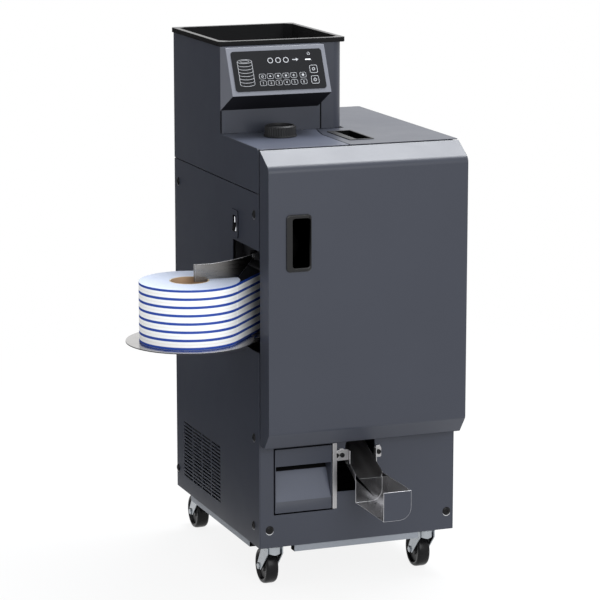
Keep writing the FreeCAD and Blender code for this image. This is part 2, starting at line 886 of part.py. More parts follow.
def lower_front_panel():
    """Lower front sheet with the reject box's opening and the chute's opening."""
    panel = box((left + sheet, right - sheet), (front, front + sheet), (up(0), up(front_panel_height)))
    x = left + reject_from_left
    through = (front - 1.0, front + 3.0)
    reject_z = (up(reject_low), up(reject_low + reject_size[1]))
    reject = box((x, x + reject_size[0]), through, reject_z)
    c = chute_x
    rim = up(chute_rim_height)
    low = up(tray_floor) + 14.0
    opening = [
        (c - chute_hole_left, low),
        (c + 35.0, low),
        (c + 35.0, rim),
        (c + chute_radius + 1.0, rim),
        (c + chute_radius + 1.0, rim + 42.5, 10.0),
        (c - chute_radius - 4.0, rim + 42.5, 14.0),
        (c - chute_radius - 4.0, rim),
        (c - chute_hole_left, rim),
    ]
    return cut(panel, reject, prism(opening, "y", *through))


def reject_box():
    """Reject coin box: an open bin whose front has a band, a sloping scoop and a foot."""
    x0 = left + reject_from_left + reject_play
    x1 = left + reject_from_left + reject_size[0] - reject_play
    low = up(reject_low + reject_play)
    top = up(reject_low + reject_size[1] - reject_play)
    rear = front + reject_depth
    side = [
        (front, low),
        (rear, low),
        (rear, low + 90.0),
        (front + 45.0, low + 90.0),
        (front + 12.0, top),
        (front, top),
    ]
    walls = [prism(side, "x", x0, x0 + sheet), prism(side, "x", x1 - sheet, x1)]
    floor = box((x0, x1), (front + sheet, rear), (low, low + sheet))
    end = box((x0, x1), (rear - sheet, rear), (low, low + 90.0))
    band_low = top - 36.0
    scoop_low = low + 24.0
    scoop_top = (front + 34.0, band_low - 6.0)
    face = [
        (front, low),
        (front + sheet, low),
        (front + sheet, scoop_low - 0.5),
        (scoop_top[0] + sheet, scoop_top[1] - 2.0),
        (scoop_top[0] + sheet, band_low + 1.0),
        (front + sheet, band_low + sheet),
        (front + sheet, top),
        (front, top),
        (front, band_low),
        (scoop_top[0], band_low - 1.0),
        (scoop_top[0], scoop_top[1] - 2.0),
        (front, scoop_low),
    ]
    return join(prism(face, "x", x0, x1), floor, end, *walls)


def on_slope(body):
    """Turns a body drawn along Y from the chute's outer end onto the chute's slope."""
    body.rotate(FreeCAD.Vector(0, 0, 0), FreeCAD.Vector(1, 0, 0), chute_fall)
    drop = chute_reach * math.tan(math.radians(chute_fall))
    body.translate(FreeCAD.Vector(chute_x, front - chute_reach, up(chute_rim_height) - drop))
    return body


def chute_channel(radius, extra):
    """The inside of the U-shaped channel, or its outside, as a solid on the chute's slope."""
    run = chute_reach + stack_from_front + 30.0
    length = run / math.cos(math.radians(chute_fall))
    round_part = rod(radius, "y", (0.0, -chute_side), -extra, length + extra)
    upright = box((-radius, radius), (-extra, length + extra), (-chute_side, extra))
    return on_slope(round_part.fuse(upright))


def above_chute():
    """Everything above the chute's sloping rims."""
    return on_slope(box((-60.0, 60.0), (-40.0, 340.0), (0.0, 60.0)))


def chute_pipe():
    """Stainless U-shaped chute on a slope, with screw tabs, studs and the divider flange beside it."""
    inside = chute_channel(chute_radius - chute_wall, 5.0)
    trough = cut(chute_channel(chute_radius, 0.0), inside, above_chute())
    y = (front - chute_wall, front)
    rim = up(chute_rim_height)
    sides = (chute_x - chute_radius, chute_x + chute_radius)
    divider_x = (chute_x - chute_hole_left - divider_width, chute_x - chute_hole_left)
    tab_z = (rim - 1.0, rim + tab_rise)
    tabs = [
        prism(rectangle((divider_x[1], sides[0] + chute_wall), tab_z, 3.0), "y", *y),
        prism(rectangle((sides[1] - chute_wall, chute_x + tab_reach), tab_z, 3.0), "y", *y),
    ]
    ear_y = (front - ear_depth, front)
    ear_z = (rim - 9.0, rim + tab_rise)
    ears = [
        box((sides[0], sides[0] + chute_wall), ear_y, ear_z),
        box((sides[1] - chute_wall, sides[1]), ear_y, ear_z),
    ]
    flange = box(divider_x, y, (up(divider_heights[0]), up(divider_heights[1])))
    bolts = []
    lugs = []
    for at in tab_bolts:
        place = (chute_x + at, rim + tab_rise / 2)
        bolts.append(rod(tab_bolt_radius, "y", place, front - 4.0, front - chute_wall))
        lug_x = about(chute_x + at - lug_offset, tab_bolt_radius)
        lugs.append(box(lug_x, (front - 6.0, front), (tab_z[1] - 1.0, tab_z[1] + 4.0)))
    return join(trough, *tabs, flange, *ears, *bolts, *lugs)


def chute_tray():
    """Stainless catch tray: curved floor and right wall, end plates and an open left side."""
    start = chute_x - chute_radius - 0.5
    x = (start, start + tray_width)
    y_back = front - tray_reach[0]
    y_front = front - tray_reach[1]
    floor = up(tray_floor)
    top = up(tray_top)
    t = chute_wall
    section = [
        (x[0], floor),
        (x[1], floor, tray_round),
        (x[1], top),
        (x[1] - t, top),
        (x[1] - t, floor + t, tray_round - t),
        (x[0], floor + t),
    ]
    trough = prism(section, "y", y_front, y_back)
    plate = [
        (x[0], floor),
        (x[1], floor, tray_round),
        (x[1], top),
        (x[0], top),
    ]
    rear = prism(plate, "y", y_back - t, y_back)
    rear = cut(rear, chute_channel(chute_radius + gap, 5.0), above_chute())
    nose = prism(plate, "y", y_front, y_front + t)
    return join(trough, rear, nose)


# Switch, inlet, fan and electronics


def switch_bezel():
    """Black frame of the rocker switch with its body inside the panel."""
    z = up(switch_height)
    half = (switch_bezel_size[0] / 2, switch_bezel_size[1] / 2)
    outline = rectangle(about(switch_y, half[0]), about(z, half[1]), 4.0)
    plate = prism(outline, "x", left - 2.0, left)
    rim = switch_rim + gap
    body = box((left, left + 22.0), about(switch_y, half[0] - rim), about(z, half[1] - rim))
    well_y = about(switch_y, rocker_size[0] / 2 + gap)
    well = box((left - 3.0, left + 14.0), well_y, about(z, rocker_size[1] / 2 + gap))
    pin = rod(1.5, "y", (left + 4.0, z), well_y[0] - 1.0, well_y[1] + 1.0)
    return join(cut(plate.fuse(body), well), pin)


def rocker():
    """Rocker with two faces meeting at a shallow angle over its pin."""
    z = up(switch_height)
    half = rocker_size[1] / 2 - 1.5
    points = [
        (left + 8.0, z - half + 4.0),
        (left + 8.0, z + half - 4.0),
        (left - 1.0, z + half),
        (left - 0.5, z + 1.0),
        (left - 4.5, z - half),
    ]
    body = prism(points, "y", switch_y - rocker_size[0] / 2, switch_y + rocker_size[0] / 2)
    return cut(body, rod(1.5 + running, "y", (left + 4.0, z), switch_y - 20.0, switch_y + 20.0))


def inlet_place():
    """Middle of the power inlet in the back panel."""
    return (right - 95.0, up(62.0))


def inlet_body(grow):
    """Body of the power inlet that passes through the back panel."""
    x, z = inlet_place()
    return box(about(x, 14.0 + grow), (back - 22.0, back + 1.0), about(z, 10.0 + grow))


def power_inlet():
    """Three-pin appliance inlet with a screw flange."""
    x, z = inlet_place()
    flange = prism(rectangle(about(x, 25.0), about(z, 14.0), 5.0), "y", back, back + 2.5)
    body = inlet_body(0.0)
    socket = [
        (x - 12.0, z - 8.0),
        (x + 12.0, z - 8.0),
        (x + 12.0, z + 3.0),
        (x + 7.0, z + 8.0),
        (x - 7.0, z + 8.0),
        (x - 12.0, z + 3.0),
    ]
    well = prism(socket, "y", back - 15.0, back + 4.0)
    pins = []
    for step in (-7.0, 0.0, 7.0):
        pins.append(box(about(x + step, 1.0), (back - 15.0, back - 1.0), (z - 3.0, z + 1.0)))
    return join(cut(flange.fuse(body), well), *pins)


def fan_place():
    """Middle of the fan behind the side vents, as (Y, Z)."""
    middle_y = (vent_span() + back - vent_from_back) / 2
    return (middle_y, up(vent_low + vent_rows * vent_pitch / 2))


def fan_frame():
    """Square fan frame on the left panel, with a ring, four struts and a motor cup."""
    y, z = fan_place()
    x = (left + sheet, left + sheet + 25.0)
    half = 59.5
    body = prism(rectangle((y - half, y + half), (z - half, z + half), 6.0), "x", *x)
    body = cut(body, rod(56.0, "x", (y, z), x[0] - 1.0, x[1] + 1.0))
    strut_x = (x[1] - 3.0, x[1])
    across = box(strut_x, (y - 57.0, y + 57.0), (z - 2.0, z + 2.0))
    upright = box(strut_x, (y - 2.0, y + 2.0), (z - 57.0, z + 57.0))
    hub = rod(19.0, "x", (y, z), *strut_x)
    bore = rod(2.0 + running, "x", (y, z), x[0], x[1] + 1.0)
    return cut(join(body, across, upright, hub), bore)


def fan_rotor():
    """Seven pitched blades on a hub with a thin shaft."""
    y, z = fan_place()
    x = (left + sheet + 4.0, left + sheet + 21.0)
    hub = rod(19.0, "x", (y, z), *x)
    shaft = rod(2.0, "x", (y, z), x[0], x[1] + 3.5)
    blades = []
    for index in range(7):
        blade = box((-1.0, 1.0), (-9.0, 9.0), (17.0, 53.0))
        blade.rotate(FreeCAD.Vector(0, 0, 0), FreeCAD.Vector(0, 0, 1), 40)
        blade.rotate(FreeCAD.Vector(0, 0, 0), FreeCAD.Vector(1, 0, 0), 360.0 * index / 7)
        blade.translate(FreeCAD.Vector((x[0] + x[1]) / 2, y, z))
        blades.append(blade)
    return join(hub, shaft, *blades)


def control_board():
    """Circuit board on four stand-offs inside the right panel, with its larger parts."""
    x = right - sheet - board_stand_off - 1.6
    y = (board_front, board_front + board_size[0])
    z = (up(shelf_low + board_rise), up(shelf_low + board_rise + board_size[1]))
    board = box((x, x + 1.6), y, z)
    parts = [board]
    for py in (y[0] + 8.0, y[1] - 8.0):
        for pz in (z[0] + 8.0, z[1] - 8.0):
            parts.append(rod(3.0, "x", (py, pz), x + 1.6, right - sheet))
    parts.append(box((x - 8.0, x), (y[0] + 20.0, y[0] + 55.0), (z[0] + 100.0, z[0] + 135.0)))
    parts.append(box((x - 22.0, x), (y[0] + 80.0, y[0] + 110.0), (z[0] + 25.0, z[0] + 75.0)))
    parts.append(box((x - 12.0, x), (y[0] + 20.0, y[0] + 100.0), (z[1] - 20.0, z[1] - 8.0)))
    for index in range(3):
        parts.append(rod(7.0, "x", (y[0] + 135.0, z[0] + 40.0 + 22.0 * index), x - 20.0, x))
    return join(*parts)


def power_supply():
    """Metal-cased supply on the base pan, with a slotted lid."""
    x = (right - supply_from_right - supply_size[0], right - supply_from_right)
    y = (back - supply_from_back - supply_size[1], back - supply_from_back)
    z = (up(pan_thickness), up(pan_thickness + supply_size[2]))
    wall = 1.5
    case = box(x, y, z)
    inside = box((x[0] + wall, x[1] - wall), (y[0] + wall, y[1] - wall), (z[0] + wall, z[1] - wall))
    coil = box((x[0] + 25.0, x[0] + 75.0), (y[0] + 20.0, y[0] + 70.0), (z[0], z[0] + 36.0))
    cans = [rod(12.0, "z", (x[0] + 40.0, y[0] + 90.0 + step), z[0], z[0] + 32.0) for step in (0.0, 30.0)]
    case = join(cut(case, inside), coil, *cans)
    slots = []
    for index in range(8):
        start = y[0] + 18.0 + index * 16.0
        slots.append(box((x[0] + 18.0, x[1] - 18.0), (start, start + 6.0), (z[1] - 1.5, z[1] + 1.0)))
    return cut(case, *slots)


# Paper reel beside the cabinet


def roll_arm():
    """Folded support arm through the paper opening, with the reel's spindle."""
    top = up(reel_disc_low - 0.5)
    y = (reel[1] - 20.0, reel[1] + 14.0)
    x = (reel[0] - 18.0, left + 92.0)
    plate = box(x, y, (top - 3.0, top))
    tip = rod(17.0, "z", (reel[0] - 3.0, reel[1] - 3.0), top - 3.0, top)
    lips = []
    for side in y:
        inner = side + (2.0 if side == y[0] else -2.0)
        lips.append(box((reel[0], left + shelf_from_left), (side, inner), (top - 10.0, top - 3.0)))
    spindle = rod(spindle_radius, "z", reel, top, up(paper_low + 24.0))
    return join(plate, tip, spindle, *lips)


def roll_disc():
    """Polished disc under the roll, with a hub that centres the core."""
    low = up(reel_disc_low)
    top = up(paper_low)
    disc = rod(reel_disc_radius, "z", reel, low, top)
    boss = rod(12.0, "z", reel, top, top + 24.0)
    cup = pipe(core_bore - gap, core_bore - 3.0, "z", reel, top, top + 18.0)
    spoke = core_bore - 2.0
    spokes = [
        box(about(reel[0], spoke), about(reel[1], 1.5), (top, top + 10.0)),
        box(about(reel[0], 1.5), about(reel[1], spoke), (top, top + 10.0)),
    ]
    bore = rod(spindle_radius + running, "z", reel, low - 1.0, top + 25.0)
    return cut(join(disc, boss, cup, *spokes), bore)


def paper_core():
    """Cardboard core of the roll."""
    return pipe(core_radius, core_bore, "z", reel, up(paper_low), up(paper_high))


def paper_roll():
    """Wound paper on its core."""
    return pipe(paper_radius, core_radius + 0.1, "z", reel, up(paper_low), up(paper_high))


def web_corner():
    """Middle of the guide post that turns the web, worked out from the roll and the feed line."""
    angle = math.radians(web_angle)
    normal = (math.sin(angle), -math.cos(angle))
    reach = paper_radius + gap + web_thickness / 2 + web_thickness / 2 + gap + guide_radius
    y = web_line - web_thickness / 2 - gap - guide_radius
    x = reel[0] + (reach - (y - reel[1]) * normal[1]) / normal[0]
    return x, y, normal


def paper_web():
    """Free stretch of the paper from the roll, round the guide post, through the feed rollers."""
    x, y, normal = web_corner()
    near = guide_radius + gap
    far = near + web_thickness
    start = paper_radius + gap
    end_x = feed_x + 18.0
    z = up(paper_low + 0.5)

    def at(centre, direction, distance):
        return FreeCAD.Vector(centre[0] + direction[0] * distance, centre[1] + direction[1] * distance, z)

    opposite = (-normal[0], -normal[1])
    middle_angle = math.radians((90.0 + 90.0 + web_angle) / 2)
    middle = (math.cos(middle_angle), math.sin(middle_angle))
    straight = (0.0, 1.0)
    post_centre = (x, y)

    def line(start_point, end_point):
        return Part.LineSegment(start_point, end_point).toShape()

    def bend(distance):
        return [at(post_centre, direction, distance) for direction in (opposite, middle, straight)]

    roll_inner = at(reel, normal, start)
    roll_outer = at(reel, normal, start + web_thickness)
    outer = bend(far)
    inner = bend(near)
    outer_end = FreeCAD.Vector(end_x, y + far, z)
    inner_end = FreeCAD.Vector(end_x, y + near, z)
    edges = [
        line(roll_inner, outer[0]),
        Part.Arc(*outer).toShape(),
        line(outer[2], outer_end),
        line(outer_end, inner_end),
        line(inner_end, inner[2]),
        Part.Arc(*inner).toShape(),
        line(inner[0], roll_outer),
        line(roll_outer, roll_inner),
    ]
    return Part.Face(Part.Wire(edges)).extrude(FreeCAD.Vector(0, 0, paper_width - 0.5))


def hold_arm():
    """Curved strip that rests over the core, stepped to hook into its bore, on a barrel."""
    tip_x = reel[0] + 12.0
    core_edge = reel[0] + core_bore - 2.0
    pivot_x = hold_axis[0]
    y = reel[1]
    rest = up(paper_high)
    side = [
        (tip_x, rest - 5.0),
        (core_edge, rest - 5.0),
        (core_edge + 2.0, rest + gap),
        (reel[0] + paper_radius, rest + gap),
        (pivot_x - 4.0, up(hold_axis[1]) - 4.0),
        (pivot_x, up(hold_axis[1]) + 4.0),
        (reel[0] + paper_radius, rest + hold_arm_height + 7.0),
        (reel[0] + core_bore + 10.0, rest + hold_arm_height),
        (tip_x, rest + hold_arm_height - 1.0),
    ]
    z = rest - 10.0
    t = 1.5
    mid_x = (tip_x + pivot_x) / 2

    def point(px, py):
        return FreeCAD.Vector(px, py, z)

    edges = [
        Part.Arc(point(tip_x, y + 4.0), point(mid_x, y - 6.0), point(pivot_x, y)).toShape(),
        Part.LineSegment(point(pivot_x, y), point(pivot_x, y - t)).toShape(),
        Part.Arc(point(pivot_x, y - t), point(mid_x, y - 6.0 - t), point(tip_x, y + 4.0 - t)).toShape(),
        Part.LineSegment(point(tip_x, y + 4.0 - t), point(tip_x, y + 4.0)).toShape(),
    ]
    band = Part.Face(Part.Wire(edges)).extrude(FreeCAD.Vector(0, 0, 100.0))
    strip = band.common(prism(side, "y", y - 30.0, y + 30.0))
    bead = rod(2.0, "z", (tip_x, y + 4.0 - t / 2), rest - 5.0, rest + hold_arm_height - 1.0)
    axis = (hold_axis[0], up(hold_axis[1]))
    barrel = rod(6.0, "y", axis, y - 13.0, y + 13.0)
    bore = rod(3.0 + running, "y", axis, y - 14.0, y + 14.0)
    return cut(join(strip, bead, barrel), bore)


# Wrapping station


def roller_places():
    """Centres of the left, right and front wrap rollers about the coin stack."""
    places = []
    for degrees in (150.0, 30.0, 270.0):
        angle = math.radians(degrees)
        x = stack[0] + roller_distance * math.cos(angle)
        y = stack[1] + roller_distance * math.sin(angle)
        places.append((x, y))
    return places


def arm_pivot():
    """Pivot of the swinging arm that carries the front wrap roller."""
    return (stack[0] - 57.0, stack[1] - 32.0)


def crimp_post():
    """Upright post that guides the two crimping hooks."""
    return (stack[0] + 67.0, stack[1] - 20.0)


def motor_place():
    """Axis of the drive motor behind the mounting plate."""
    return (stack[0], plate_y + 40.0)


def feed_places():
    """Axes of the driven feed roller and the pinch roller on either side of the web."""
    away = web_thickness / 2 + gap + feed_radius
    return [(feed_x, web_line + away), (feed_x, web_line - away)]


def chassis():
    """Mounting plate across the cabinet with two shelves, guide posts and the arm's ears."""
    x_in = right - sheet - rail_size
    y = (plate_y, plate_y + plate_thickness)
    plate = box((-x_in, x_in), y, (up(plate_low), up(plate_high)))
    foot = box((stack[0] - 21.0, stack[0] + 90.0), (y[1] - 22.0, y[1]), (up(plate_high), up(track_low)))
    x = (left + shelf_from_left, stack[0] + 88.0)
    low = box(x, (front + 50.0, y[0]), (up(shelf_low), up(shelf_low + shelf)))
    high = box(x, (front + 50.0, y[1] + 75.0), (up(shelf_high), up(shelf_high + shelf)))
    shelf_span = (up(shelf_high - 1.0), up(shelf_high + shelf + 1.0))
    high = cut(high, box((x[0], stack[0] - 45.0), (y[1], y[1] + 75.0), shelf_span))
    guide_x, guide_y, _ = web_corner()
    between = (up(shelf_low + shelf), up(shelf_high))
    guide = rod(guide_radius, "z", (guide_x, guide_y), *between)
    post_rod = rod(5.0, "z", crimp_post(), *between)
    body = join(plate, foot, low, high, guide, post_rod, *hold_ears())
    cuts = []
    span = (up(shelf_low - 1.0), up(shelf_high + shelf + 1.0))
    for centre in roller_places()[:2] + [arm_pivot()] + feed_places():
        cuts.append(rod(journal_radius + running, "z", centre, *span))
    cuts.append(rod(coin_radius + 1.5, "z", stack, *shelf_span))
    cuts.append(rod(coin_radius + 4.0, "z", stack, up(shelf_low - 1.0), up(shelf_low + shelf + 1.0)))
    cuts.append(rod(journal_radius + running, "z", motor_place(), *shelf_span))
    window = (up(shelf_high + shelf), up(shelf_high + shelf + 20.0))
    cuts.append(box((stack[0] - 42.0, stack[0] + 42.0), (y[0] - 1.0, y[1] + 1.0), window))
    return cut(body, *cuts)


def hold_ears():
    """Bracket with two ears and the pin of the hold-down arm."""
    z = up(hold_axis[1])
    x = hold_axis[0]
    y = (reel[1] - 13.0 - gap, reel[1] + 13.0 + gap)
    spine = box((x + 9.0, x + 12.0), (y[0] - 3.0, plate_y), (z - 12.0, z + 12.0))
    ears = [
        box((x - 6.0, x + 9.0), (y[0] - 3.0, y[0]), (z - 6.0, z + 8.0)),
        box((x - 6.0, x + 9.0), (y[1], y[1] + 3.0), (z - 6.0, z + 8.0)),
    ]
    pin = rod(3.0, "y", (x, z), y[0] - 5.0, y[1] + 5.0)
    return [spine, *ears, pin]


def wrap_roller(centre, pulley_low):
    """Turned wrap roller on journals, with its pulley over the upper shelf."""
    body_low = up(paper_low + 1.5)
    body_high = up(paper_high - 0.5)
    top = up(pulley_low)
    points = [
        (0, up(shelf_low - 3.0)),
        (journal_radius, up(shelf_low - 3.0)),
        (journal_radius, body_low),
        (roller_radius - 1.0, body_low),
        (roller_radius, body_low + 1.0),
        (roller_radius, body_high - 1.0),
        (roller_radius - 1.0, body_high),
        (journal_radius, body_high),
        (journal_radius, top),
        (pulley_radius, top),
        (pulley_radius, top + belt_width + 1.0),
        (0, top + belt_width + 1.0),
    ]
    return lathe(points, "z", (centre[0], centre[1], 0))


def belt_levels():
    """Undersides of the two belts above the upper shelf."""
    first = shelf_high + shelf + 2.0
    return (first, first + belt_width + 3.0)


def front_roller():
    """Front wrap roller, idle between the two plates of its arm."""
    centre = roller_places()[2]
    low = up(paper_low + 1.5)
    high = up(paper_high - 1.5)
    points = [
        (0, up(shelf_low + shelf + 1.0)),
        (3.0, up(shelf_low + shelf + 1.0)),
        (3.0, low),
        (roller_radius, low),
        (roller_radius, high),
        (3.0, high),
        (3.0, up(shelf_high - 2.0)),
        (0, up(shelf_high - 2.0)),
    ]
    return lathe(points, "z", (centre[0], centre[1], 0))


def roller_arm():
    """Swinging arm: two plates on a pivot shaft between the shelves."""
    pivot = arm_pivot()
    roller = roller_places()[2]
    plates = []
    levels = (
        (up(shelf_low + shelf + 1.0), up(paper_low)),
        (up(paper_high + 0.5), up(shelf_high - 1.5)),
    )
    outline = [
        (pivot[0], pivot[1] - 8.0),
        (roller[0], roller[1] - 7.0),
        (roller[0], roller[1] + 7.0),
        (pivot[0], pivot[1] + 8.0),
    ]
    for z in levels:
        ends = rod(8.0, "z", pivot, *z).fuse(rod(7.0, "z", roller, *z))
        plate = prism(outline, "z", *z).fuse(ends)
        plates.append(plate.cut(rod(3.0 + running, "z", roller, z[0] - 1.0, z[1] + 1.0)))
    shaft = rod(journal_radius, "z", pivot, up(shelf_low - 2.0), up(shelf_high + shelf + 3.0))
    sleeve = rod(6.0, "z", pivot, up(shelf_low + shelf + 1.0), up(shelf_high - 1.5))
    return join(*plates, shaft, sleeve)


def crimper(low, hook_side):
    """Crimping hook: a block on the guide post, an arm and a turned hook at the stack."""
    post_at = crimp_post()
    z = up(low)
    block = rod(11.0, "z", post_at, z - 6.0, z + 10.0)
    length = math.hypot(stack[0] - post_at[0], stack[1] - post_at[1])
    arm = box((0.0, length - coin_radius + 3.0), (-4.0, 4.0), (0.0, 4.0))
    tip = length - coin_radius + 3.0
    hook = box((tip - 4.0, tip), (-4.0, 4.0), (-3.0, 0.0) if hook_side < 0 else (4.0, 7.0))
    limb = arm.fuse(hook)
    angle = math.degrees(math.atan2(stack[1] - post_at[1], stack[0] - post_at[0]))
    limb.rotate(FreeCAD.Vector(0, 0, 0), FreeCAD.Vector(0, 0, 1), angle)
    limb.translate(FreeCAD.Vector(post_at[0], post_at[1], z))
    bore = rod(5.0 + running, "z", post_at, z - 10.0, z + 20.0)
    return cut(join(block, limb), bore)


def feed_roller(centre):
    """Paper feed roller with a narrow waist between two rubber bands."""
    low = up(paper_low + 1.5)
    high = up(paper_high - 1.5)
    middle = (low + high) / 2
    points = [
        (0, up(shelf_low - 3.0)),
        (journal_radius, up(shelf_low - 3.0)),
        (journal_radius, low),
        (feed_radius, low),
        (feed_radius, middle - 12.0),
        (feed_radius - 3.0, middle - 12.0),
        (feed_radius - 3.0, middle + 12.0),
        (feed_radius, middle + 12.0),
        (feed_radius, high),
        (journal_radius, high),
        (journal_radius, up(shelf_high + shelf + 3.0)),
        (0, up(shelf_high + shelf + 3.0)),
    ]
    return lathe(points, "z", (centre[0], centre[1], 0))


def drive_motor():
    """Drive motor hung under the upper shelf behind the plate."""
    x, y = motor_place()
    top = up(shelf_high)
    can = rod(motor_radius, "z", (x, y), top - 88.0, top - 14.0)
    flange = box((x - 33.0, x + 33.0), (y - 33.0, y + 33.0), (top - 14.0, top))
    bore = rod(journal_radius + running, "z", (x, y), top - 12.0, top + 1.0)
    return cut(join(can, flange), bore)


def motor_pulley():
    """Motor shaft with its double belt pulley."""
    x, y = motor_place()
    low, high = belt_levels()
    points = [
        (0, up(shelf_high - 11.0)),
        (journal_radius, up(shelf_high - 11.0)),
        (journal_radius, up(low)),
        (pulley_radius, up(low)),
        (pulley_radius, up(low + belt_width + 1.0)),
        (pulley_radius - 2.0, up(low + belt_width + 1.0)),
        (pulley_radius - 2.0, up(high)),
        (pulley_radius, up(high)),
        (pulley_radius, up(high + belt_width + 1.0)),
        (0, up(high + belt_width + 1.0)),
    ]
    return lathe(points, "z", (x, y, 0))


def belt_loop(a, b, low):
    """A flat belt round two equal pulleys."""
    inner = pulley_radius + gap
    z = (up(low + 0.5), up(low + 0.5 + belt_width))
    length = math.hypot(b[0] - a[0], b[1] - a[1])

    def stadium(radius):
        ends = rod(radius, "z", (0, 0), *z).fuse(rod(radius, "z", (length, 0), *z))
        return ends.fuse(box((0, length), (-radius, radius), z)).removeSplitter()

    loop = stadium(inner + belt_thickness).cut(stadium(inner))
    angle = math.degrees(math.atan2(b[1] - a[1], b[0] - a[0]))
    loop.rotate(FreeCAD.Vector(0, 0, 0), FreeCAD.Vector(0, 0, 1), angle)
    loop.translate(FreeCAD.Vector(a[0], a[1], 0))
    return loop


def drive_belts():
    """Two belts from the motor to the left and right wrap rollers."""
    places = roller_places()
    motor = motor_place()
    return group([belt_loop(places[i], motor, belt_levels()[i]) for i in (0, 1)])


def stack_tube():
    """Stacking tube from the coin track down to the upper shelf, slotted at the front."""
    z = (up(shelf_high + shelf), up(track_low))
    body = pipe(coin_radius + 3.0, coin_radius + 1.0, "z", stack, *z)
    slot = box((stack[0] - 5.0, stack[0] + 5.0), (stack[1] - 30.0, stack[1]), (z[0] + 20.0, z[1] - 12.0))
    return cut(body, slot)


def coin_track():
    """Track plate under the disc with a ring wall, two rails and the drop hole."""
    z = (up(track_low), up(track_low + track_plate))
    x_in = right - sheet
    deck = box((-x_in, stack[0] + 28.0), (disc_centre[1] - 112.0, disc_centre[1] + 112.0), z)
    run = box((stack[0] - 24.0, stack[0] + 24.0), (stack[1] - 24.0, disc_centre[1] - 112.0), z)
    ring_z = (z[1], z[1] + ring_height)
    ring = pipe(disc_radius + ring_clearance + 3.0, disc_radius + ring_clearance, "z", disc_centre, *ring_z)
    lane = (stack[0] - coin_radius - 1.0, stack[0] + coin_radius + 1.0)
    gate = box(lane, (stack[1], disc_centre[1]), ring_z)
    rail_z = (z[1], z[1] + 8.0)
    rail_y = (stack[1] - 8.0, disc_centre[1] - 78.0)
    rails = [
        box((lane[0] - 3.0, lane[0]), rail_y, rail_z),
        box((lane[1], lane[1] + 3.0), rail_y, rail_z),
    ]
    stop = pipe(coin_radius + 4.0, coin_radius + 1.0, "z", stack, *rail_z)
    stop = stop.cut(box((lane[0] - 5.0, lane[1] + 5.0), (stack[1], stack[1] + 30.0), rail_z))
    ring = ring.cut(gate)
    body = join(deck, run, ring, stop, *rails)
    bore = rod(journal_radius + running, "z", disc_centre, z[0] - 1.0, z[1] + 1.0)
    hole = rod(coin_radius + 1.0, "z", stack, z[0] - 1.0, z[1] + 1.0)
    return cut(body, bore, hole)


def coin_disc():
    """Spinning feed disc with a raised cone and six low ribs."""
    low = up(track_low + track_plate) + 1.5
    points = [
        (0, up(track_low - 9.0)),
        (journal_radius, up(track_low - 9.0)),
        (journal_radius, low),
        (disc_radius, low),
        (disc_radius, low + 4.0),
        (30.0, low + 4.0),
        (8.0, low + 16.0),
        (0, low + 16.0),
    ]
    body = lathe(points, "z", (disc_centre[0], disc_centre[1], 0))
    ribs = []
    for index in range(6):
        rib = box((28.0, disc_radius - 6.0), (-2.0, 2.0), (low + 3.0, low + 5.5))
        rib.rotate(FreeCAD.Vector(0, 0, 0), FreeCAD.Vector(0, 0, 1), 60.0 * index)
        rib.translate(FreeCAD.Vector(disc_centre[0], disc_centre[1], 0))
        ribs.append(rib)
    return join(body, *ribs)


def hopper_motor():
    """Geared motor under the track plate that turns the disc."""
    x, y = disc_centre
    top = up(track_low)
    gearbox = box((x - 36.0, x + 36.0), (y - 36.0, y + 36.0), (top - 30.0, top))
    can = rod(28.0, "z", (x, y), top - 105.0, top - 30.0)
    bore = rod(journal_radius + running, "z", (x, y), top - 10.0, top + 1.0)
    return cut(join(gearbox, can), bore)


# Casters


def caster_places():
    """Swivel axes of the four casters by name."""
    x = right - caster_inset
    y = back - caster_inset
    return {
        "front_left": (-x, -y),
        "front_right": (x, -y),
        "rear_left": (-x, y),
        "rear_right": (x, y),
    }


def caster_plates():
    """Top plates of the casters with their swivel races and king pins."""
    pieces = []
    size = caster_plate
    for x, y in caster_places().values():
        outline = rectangle(about(x, size[0] / 2), about(y, size[1] / 2), 6.0)
        plate = prism(outline, "z", up(-size[2]), up(0))
        race = rod(19.0, "z", (x, y), up(-9.0), up(-size[2]))
        pin = rod(journal_radius, "z", (x, y), up(-20.0), up(-9.0))
        pieces.append(join(plate, race, pin))
    return group(pieces)


def caster_fork(x, y):
    """Swivelling fork with its axle: a crown, two slanting legs and the axle's nuts."""
    crown = rod(18.0, "z", (x, y), up(-15.0), up(-9.0) - gap)
    hub_y = y + caster_trail
    inner = wheel_width / 2 + 1.5
    legs = []
    for side in (-1, 1):
        leg = [
            (y - 15.0, up(-9.0) - gap, 2.0),
            (y - 15.0, up(-24.0), 6.0),
            (hub_y - 10.0, wheel_radius - 6.0, 6.0),
            (hub_y + 8.0, wheel_radius - 6.0, 6.0),
            (hub_y + 8.0, wheel_radius + 6.0, 6.0),
            (y + 16.0, up(-9.0) - gap, 3.0),
        ]
        legs.append(prism(leg, "x", x + side * inner, x + side * (inner + fork_wall)))
    axle = rod(axle_radius, "x", (hub_y, wheel_radius), *about(x, inner + fork_wall + 3.0))
    bore = rod(journal_radius + running, "z", (x, y), up(-30.0), up(0))
    return cut(join(crown, *legs, axle), bore)


def caster_wheel(x, y):
    """Wheel with a rounded tread and recessed sides."""
    half = wheel_width / 2
    side = half - 2.0
    points = [
        (axle_radius + running, -side),
        (wheel_radius - 9.0, -side),
        (wheel_radius - 9.0, -half),
        (wheel_radius - 3.0, -half),
        (wheel_radius, -half + 5.0),
        (wheel_radius, half - 5.0),
        (wheel_radius - 3.0, half),
        (wheel_radius - 9.0, half),
        (wheel_radius - 9.0, side),
        (axle_radius + running, side),
    ]
    return lathe(points, "x", (x, y + caster_trail, wheel_radius))


# Sub-parts by name

rollers = roller_places()
feeds = feed_places()
first_belt, second_belt = belt_levels()

